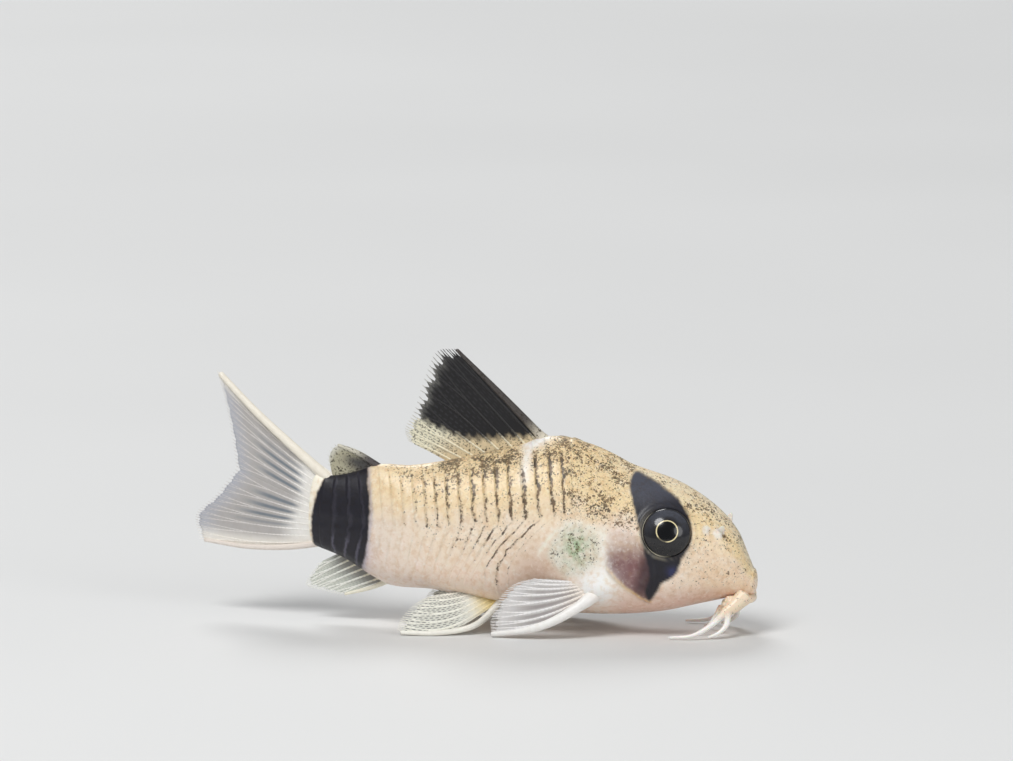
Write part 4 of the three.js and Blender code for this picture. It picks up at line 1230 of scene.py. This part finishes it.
class CORY_OT_tail(bpy.types.Operator):
    """Both lobes of the tail fin, and the anal fin"""
    bl_idname = "cory.tail_fins"
    bl_label = "Tail and anal fins"

    def execute(self, context):
        upper = Blade(mid((-12.4, 12.8), (-13.3, 11.6), (-13.8, 9.8)),
                      mid((-23.6, 21.6), (-22.9, 19.3), (-22.2, 16.2), (-21.7, 13)),
                      CAUDAL_RAYS, swell((0, 0, -0.55)), notch=0.02)
        top_edge = (mid((-12.6, 12.1), (-16, 14.85), (-20, 18.2), (-23.4, 21.4)),
                    taper(0.50, 0.26, start=0.4, start_end=0.15), 50, 12)
        make_fin(context, "caudal_fin_upper_skin", "clear_fin", upper, caudal_colour,
                 ["caudal_fin_upper"], top_edge, UPPER_EDGE_BAR, alpha=0.94, ray_scale=0.8)

        lower = Blade(mid((-13.8, 9.8), (-13.9, 8.4), (-13.2, 6.9)),
                      mid((-21.7, 13), (-23.7, 10.5), (-25.6, 8.6), (-25.2, 6.4)),
                      CAUDAL_RAYS, swell((0, 0, -0.45), at_first_ray=False), notch=0.02)
        low_edge = (mid((-13.3, 7), (-17, 6.35), (-21, 6.15), (-25, 6.45)), taper(0.32, 0.16),
                    50, 10)
        make_fin(context, "caudal_fin_lower_skin", "clear_fin", lower,
                 lambda p, s, u, ray: caudal_colour(p, 1 - s, u, ray), ["caudal_fin_lower"],
                 low_edge, LOWER_EDGE_BAR, alpha=0.94, ray_scale=0.8)

        blade = Blade(mid((-7.4, 4.1), (-9.3, 5.5), (-11.2, 6.6)),
                      mid((-11.9, 2.4), (-14, 2.8), (-15.2, 3.2), (-14, 5.2)), 6)
        spine = (mid((-7.3, 4), (-9.4, 3.1), (-11.8, 2.4)), taper(0.28, 0.12), 30, 10)
        make_fin(context, "anal_fin_skin", "clear_fin", blade,
                 lambda p, s, u, ray: ANAL_RAY(u) if ray else ANAL_SHEET_WITH_SHADE(u), ["anal_fin"],
                 spine, ANAL_SPINE, dashes=0.35)
        return {"FINISHED"}


def pectoral_colour(p, s, u, ray):
    tone = PECTORAL_SHEET(u)
    if ray:
        return blend(tone, PECTORAL_RAY, smooth(0.2, 0.6, u))
    slit = float(smooth(0.2, 0.8, between_rays(s, PECTORAL_RAYS)) * smooth(0.10, 0.25, u)
                 * (1 - smooth(0.6, 1.0, u)) * (1 - 0.7 * smooth(0.5, 0.9, s)))
    return blend(tone, PECTORAL_SLIT, 0.75 * slit)


def pelvic_colour(p, s, u, ray):
    tone = PELVIC_SHEET(u)
    return tone if ray else blend(tone, PELVIC_GREY, 0.8 * float(smooth(0.2, 0.5, u)))


class CORY_OT_paired(bpy.types.Operator):
    """Pectoral and pelvic fins of both sides"""
    bl_idname = "cory.paired_fins"
    bl_label = "Paired fins"

    def execute(self, context):
        for side, label in ((-1, "right"), (1, "left")):
            def on(*places, side=side):
                return [(x, side * y, z) for x, y, z in places]

            blade = Blade(on((11.9, 4.6, 3.9), (11.3, 4.5, 4.5), (10.6, 4.4, 4.9)),
                          on((2.7, 6.1, 0.45), (2.7, 6.5, 1.6), (3.6, 6.8, 3.7), (4.9, 6.9, 4.9),
                             (6.6, 6.6, 5.4)),
                          PECTORAL_RAYS, swell((0, side * 1.15, -0.8)), notch=0.05)
            spine = (on((12.5, 3.2, 4.9), (10.2, 5.75, 2.95), (6.8, 6.5, 1.15), (2.5, 6, 0.3)),
                     taper(0.58, 0.24, 0.35, 0.35, 1.2, 0.3, 0.1), 60, 16)
            make_fin(context, f"pectoral_fin_{label}_skin", "pale_fin", blade, pectoral_colour,
                     [f"pectoral_fin_{label}"], spine, PECTORAL_SPINE, alpha=0.88)

            blade = Blade(on((2.9, 2.6, 3), (2, 2.3, 3.5), (1, 1.9, 3.9)),
                          on((-5.6, 6.5, 0.4), (-5.4, 6.1, 1.3), (-4.7, 5.3, 2.2),
                             (-4, 4.5, 2.8), (-3.1, 3.2, 3.1)),
                          6, swell((0, side * 1.1, -1.3)))
            spine = (on((2.9, 2.7, 2.9), (0.8, 4.7, 0.85), (-2.4, 6.1, 0.26), (-5.5, 6.5, 0.28)),
                     taper(0.34, 0.16), 50, 12)
            make_fin(context, f"pelvic_fin_{label}_skin", "pale_fin", blade, pelvic_colour,
                     [f"pelvic_fin_{label}"], spine, PELVIC_SPINE, alpha=0.88, dashes=0.9)
        return {"FINISHED"}


# Mouth and barbels

BARBELS = {
    "upper": [(22.6, 2.7, 2.4), (21.4, 3.9, 1.2), (19.9, 4.5, 0.4), (17.9, 4.7, 0.2)],
    "lower": [(22.8, 2.7, 2.3), (22.7, 3.2, 1.2), (22.1, 3.6, 0.55), (21.2, 3.9, 0.2)],
    "chin": [(22, 1.3, 2.5), (21.5, 1.6, 1.6), (20.8, 1.8, 0.7), (20, 2, 0.2)],
}
MOUTH_CORNER = [(24, 1.5, 3.5), (23.3, 2.2, 2.8), (22.5, 2.75, 2.2)]
LIPS = ((24.5, 3.2, 0.42), (22.9, 2.85, 0.4))  # foremost x, height and radius of each lip
LIP_END = (22.6, 2.1)
LIP_SAND, BARBEL_PALE, FLAP_TONE = (0.90, 0.74, 0.55), (0.94, 0.91, 0.86), (0.80, 0.76, 0.68)
FLESH_SPECK = (0.10, 0.07, 0.05, 1)
FLESH_GRAIN = 4200
VOXEL = 0.055
FLAP_PLACE = (21.95, 9.2)
FLAP_HEIGHTS = {-1: 0.55, 1: 1.0}


def flesh_material():
    """Pale wet flesh of lips, barbels and nostril flaps."""
    material, tree, principled = shader("lip_flesh", Roughness=0.34, IOR=1.4, Coat_Weight=0.3,
                                        Coat_Roughness=0.2, Subsurface_Weight=0.2,
                                        Subsurface_Scale=0.5 * MM)
    fine = noise_field(tree, FLESH_GRAIN, 2.0)
    specks = maths(tree, "MULTIPLY", ramp(tree, fine, 0.60, 0.68), attribute(tree, "specks"))
    colour = mix_colour(tree, specks, attribute(tree, "paint", "Color"), FLESH_SPECK)
    tree.links.new(colour, principled.inputs["Base Color"])
    bump(tree, principled, fine, 0.2, 0.03 * MM)
    return material


def mouth_parts():
    """Bars of the lips, the mouth's corners and the barbels, before they are fused."""
    end_x, end_y = LIP_END
    parts = []
    for front, z, radius in LIPS:
        path = [(end_x, -end_y, z), (front - 0.5, -1.3, z), (front, 0, z), (front - 0.5, 1.3, z),
                (end_x, end_y, z)]
        parts.append(bar(path, taper(radius, radius), 48, 14))
    for side in (-1, 1):
        for path, radius, steps, sides in (
                (MOUTH_CORNER, taper(0.8, 0.45), 16, 14),
                *((barbel, taper(0.32, 0.12), 40, 12) for barbel in BARBELS.values())):
            parts.append(bar([(x, side * y, z) for x, y, z in path], radius, steps, sides))
    return parts


class CORY_OT_mouth(bpy.types.Operator):
    """Lips, fleshy mouth corners and three pairs of barbels, grown together"""
    bl_idname = "cory.mouth"
    bl_label = "Mouth and barbels"

    def execute(self, context):
        self.mouth()
        self.nostril_flaps()
        return {"FINISHED"}

    def mouth(self):
        # The voxel grid needs a size well above its lower limit, so it works in millimetres
        mouth = new_mesh("mouth", *join_data(mouth_parts()), unit=1.0)
        remesh = mouth.modifiers.new("fuse", "REMESH")
        remesh.mode = "VOXEL"
        remesh.voxel_size = VOXEL
        relax = mouth.modifiers.new("relax", "SMOOTH")
        relax.factor = 0.5
        relax.iterations = 6
        evaluated(mouth)
        mouth.data.transform(Matrix.Scale(MM, 4))
        mouth.data.shade_smooth()
        height = np.array([v.co.z for v in mouth.data.vertices]) / MM
        away = smooth(2.5, 1.5, height)
        sand, pale = np.array(LIP_SAND), np.array(BARBEL_PALE)
        store(mouth, "paint", sand + (pale - sand) * away[:, None], "FLOAT_COLOR")
        store(mouth, "specks", 0.7 * (1 - away))
        mouth.data.materials.clear()
        mouth.data.materials.append(flesh_material())
        names = [f"barbel_{kind}_{label}" for kind in BARBELS for label in ("left", "right")]
        place_piece(mouth, "barbel", *names)

    def nostril_flaps(self):
        """Small upright flaps of skin between the nostrils, the left one taller."""
        x, z = FLAP_PLACE
        parts = []
        for side, tall in FLAP_HEIGHTS.items():
            root = np.array((x, side * (float(flank_y(x, z)) - 0.15), z))
            path = [root, root + (0.12, side * 0.3, 0.35 * tall),
                    root + (0.35, side * 0.45, 1.05 * tall)]
            parts.append(bar(path, lambda t: 0.40 * (1 - t) ** 0.5 + 0.05, 16, 12, 0.4))
        points, faces = join_data(parts)
        flaps = new_mesh("nostril_flaps", points, faces)
        orient(flaps)
        store(flaps, "paint", [FLAP_TONE] * len(points), "FLOAT_COLOR")
        store(flaps, "specks", [0.1] * len(points))
        flaps.data.materials.append(flesh_material())
        place_piece(flaps, "head_skin")


# Eyes

# Limits of the eye's rings, in millimetres from its axis
PUPIL_EDGE = (0.84, 0.88)
RING_INSIDE, RING_OUTSIDE = (0.86, 0.90), (0.95, 1.0)
IRIS_HIGHLIGHT_REACH = (0.95, 1.5)
IRIS_EDGE = (1.85, 2.05)
RIM_EDGE = (2.06, 2.12)
IRIS_DARK = (0.012, 0.012, 0.014, 1)
# Painted highlight: bluish grey on the iris's upper part
IRIS_HIGHLIGHT = (0.075, 0.08, 0.10, 1)
IRIS_BROWN = (0.03, 0.026, 0.024, 1)
GOLD = (0.88, 0.76, 0.44, 1)
PUPIL = (0.002, 0.002, 0.003, 1)
EYE_EDGE = (0.010, 0.010, 0.012, 1)
# Painted highlight: pale crescent on the eye's rear and lower rim
EYE_RIM_HIGHLIGHT = (0.70, 0.65, 0.50, 1)
EYE_GRAIN = 3800
EYE_ROWS, EYE_COLUMNS = 60, 72


def eye_material():
    """Glossy eye: black pupil in a thin gold ring, dark iris with a painted bluish highlight on its
    upper part and a painted pale highlight on its rear and lower rim.
    """
    material, tree, principled = shader("eye", Roughness=0.2, IOR=1.33, Coat_Weight=0.5,
                                        Coat_Roughness=0.1)
    radius = attribute(tree, "iris")
    upward = ramp(tree, attribute(tree, "up"), -0.5, 1.0)
    grain = ramp(tree, noise_field(tree, EYE_GRAIN, 3.0), 0.35, 0.75)
    gap = inverse(tree, times(tree, attribute(tree, "gap"), 0.85))
    ring = times(tree, times(tree, ramp(tree, radius, *RING_INSIDE),
                             inverse(tree, ramp(tree, radius, *RING_OUTSIDE))), gap)
    # Painted highlight: the iris turns bluish grey towards its top
    colour = mix_colour(tree, times(tree, upward, ramp(tree, radius, *IRIS_HIGHLIGHT_REACH)),
                        IRIS_DARK, IRIS_HIGHLIGHT)
    for mask, tone in (
            (times(tree, grain, 0.5), IRIS_BROWN),
            (ring, GOLD),
            (inverse(tree, ramp(tree, radius, *PUPIL_EDGE)), PUPIL),
            (ramp(tree, radius, *IRIS_EDGE), EYE_EDGE),
            # Painted highlight: pale on the rim's rear and lower edge
            (times(tree, ramp(tree, radius, *RIM_EDGE), attribute(tree, "lit")), EYE_RIM_HIGHLIGHT)):
        colour = mix_colour(tree, mask, colour, tone)
    tree.links.new(colour, principled.inputs["Base Color"])
    return material


class CORY_OT_eyes(bpy.types.Operator):
    """Both eyes, each a flattened ball with iris, gold ring and pupil"""
    bl_idname = "cory.eyes"
    bl_label = "Eyes"

    def execute(self, context):
        material = eye_material()
        for side, label in ((-1, "right"), (1, "left")):
            centre, outward, forward, upward = eye_frame(side)
            points = []
            values = {"iris": [], "up": [], "gap": [], "lit": []}
            for i in range(EYE_ROWS):
                angle = math.pi * (i + 0.5) / EYE_ROWS
                flat, rise = EYE_RADIUS * math.sin(angle), EYE_DEPTH * math.cos(angle)
                for k in range(EYE_COLUMNS):
                    turn = 2 * math.pi * k / EYE_COLUMNS
                    ahead, aloft = math.cos(turn), math.sin(turn)
                    points.append(tuple(centre + outward * rise + forward * flat * ahead
                                        + upward * flat * aloft))
                    values["iris"].append(flat if rise > 0 else EYE_RADIUS)
                    # up and lit place the painted highlights: bluish on the iris's upper part, pale
                    # on the rim's rear and lower side
                    values["up"].append(aloft * flat / EYE_RADIUS)
                    values["gap"].append(float(smooth(0.82, 0.98, -0.45 * ahead - 0.9 * aloft)))
                    values["lit"].append(float(smooth(0.1, 0.8, -0.9 * ahead - 0.4 * aloft)))
            faces = grid_faces(EYE_ROWS, EYE_COLUMNS, wrap=True)
            for row in (0, EYE_ROWS - 1):
                faces.append(tuple(row * EYE_COLUMNS + k for k in range(EYE_COLUMNS)))
            eye = new_mesh(f"eye_{label}_ball", points, faces)
            for name, amounts in values.items():
                store(eye, name, amounts)
            orient(eye)
            eye.data.materials.append(material)
            place_piece(eye, "eye", f"eye_{label}")
        return {"FINISHED"}


# Stage

# Lamps as (place, size, share of the main light's power), in metres
LAMPS = {
    "key": ((-0.25, -0.65, 0.95), 0.55, 1.0),
    "front_fill": ((0.85, -0.60, 0.40), 0.60, 0.35),
    "rim": ((-0.35, 0.80, 0.75), 0.50, 0.55),
}
LAMP_AIM = (0, 0, 0.01)
SKY_TONE, SKY_STRENGTH = (0.86, 0.89, 0.93, 1), 0.26
FLOOR_REACH = 3.0
FLOOR_DARK, FLOOR_LIGHT = (0.76, 0.76, 0.75, 1), (0.79, 0.79, 0.78, 1)
CAMERA_AIM = (2.71 * MM, 0, 21.8 * MM)
SENSOR_WIDTH = 36


class CORY_OT_stage(bpy.types.Operator):
    """Pale floor, soft studio lights and the camera"""
    bl_idname = "cory.stage"
    bl_label = "Stage and camera"

    def execute(self, context):
        sizes = context.scene.cory_stage
        self.floor()
        for name, (place, size, share) in LAMPS.items():
            self.light(name, place, size, share * sizes.key_power)
        world = bpy.data.worlds.new("studio")
        world.use_nodes = True
        surface = world.node_tree.nodes["Background"].inputs
        surface["Color"].default_value = SKY_TONE
        surface["Strength"].default_value = SKY_STRENGTH
        context.scene.world = world
        context.scene.view_settings.view_transform = "Standard"
        self.camera(context, sizes)
        return {"FINISHED"}

    def floor(self):
        """Wide level floor, pale and faintly uneven in tone."""
        points = [(x * FLOOR_REACH, y * FLOOR_REACH, 0)
                  for x, y in ((-1, -1), (1, -1), (1, 1), (-1, 1))]
        floor = new_mesh("floor", points, [(0, 1, 2, 3)], unit=1.0)
        material, tree, principled = shader("pale_floor", Roughness=0.65, IOR=1.4)
        tone = ramp(tree, noise_field(tree, 6.0, 2.0), 0.3, 0.7)
        colour = mix_colour(tree, tone, FLOOR_DARK, FLOOR_LIGHT)
        tree.links.new(colour, principled.inputs["Base Color"])
        floor.data.materials.append(material)

    def light(self, name, place, size, power):
        """Round soft lamp that faces the fish."""
        lamp = bpy.data.lights.new(name, "AREA")
        lamp.shape = "DISK"
        lamp.size = size
        lamp.energy = power
        obj = bpy.data.objects.new(name, lamp)
        obj.location = place
        aim = Vector(LAMP_AIM) - Vector(place)
        obj.rotation_euler = aim.to_track_quat("-Z", "Y").to_euler()
        bpy.context.scene.collection.objects.link(obj)

    def camera(self, context, sizes):
        """Camera at the photo's angle, a long lens away."""
        aim = Vector(CAMERA_AIM)
        back = Vector((math.sin(sizes.azimuth) * math.cos(sizes.elevation),
                       -math.cos(sizes.azimuth) * math.cos(sizes.elevation),
                       math.sin(sizes.elevation)))
        lens = bpy.data.cameras.new("camera")
        lens.lens = sizes.lens
        lens.sensor_width = SENSOR_WIDTH
        lens.clip_start = 0.01
        obj = bpy.data.objects.new("camera", lens)
        obj.location = aim + back * sizes.distance
        obj.rotation_euler = (-back).to_track_quat("-Z", "Y").to_euler()
        context.scene.collection.objects.link(obj)
        context.scene.camera = obj


class CORY_PT_panel(bpy.types.Panel):
    """Sizes and colours of the fish, and a button for each group of pieces"""
    bl_idname = "CORY_PT_panel"
    bl_label = "Corydoras"
    bl_space_type = "VIEW_3D"
    bl_region_type = "UI"
    bl_category = "Corydoras"

    def draw(self, context):
        scene = context.scene
        for title, group in (("Body", scene.cory_body), ("Colours", scene.cory_skin),
                             ("Fins", scene.cory_fins), ("Stage", scene.cory_stage)):
            box = self.layout.box()
            box.label(text=title)
            for name in group.__annotations__:
                box.prop(group, name)
        for operator in OPERATORS:
            self.layout.operator(operator.bl_idname)


GROUPS = {"cory_body": BodySizes, "cory_skin": SkinColours, "cory_fins": FinSizes,
          "cory_stage": StageSizes}
OPERATORS = (CORY_OT_stage, CORY_OT_skin, CORY_OT_dorsal, CORY_OT_tail, CORY_OT_paired,
             CORY_OT_mouth, CORY_OT_eyes)


def register():
    for cls in (*GROUPS.values(), *OPERATORS, CORY_PT_panel):
        bpy.utils.register_class(cls)
    for name, cls in GROUPS.items():
        setattr(bpy.types.Scene, name, PointerProperty(type=cls))


def unregister():
    for name in GROUPS:
        delattr(bpy.types.Scene, name)
    for cls in reversed((*GROUPS.values(), *OPERATORS, CORY_PT_panel)):
        bpy.utils.unregister_class(cls)


def main():
    register()
    bpy.ops.cory.stage()
    bpy.ops.cory.skin()
    bpy.ops.cory.dorsal_fins()
    bpy.ops.cory.tail_fins()
    bpy.ops.cory.paired_fins()
    bpy.ops.cory.mouth()
    bpy.ops.cory.eyes()


if __name__ == "__main__":
    main()
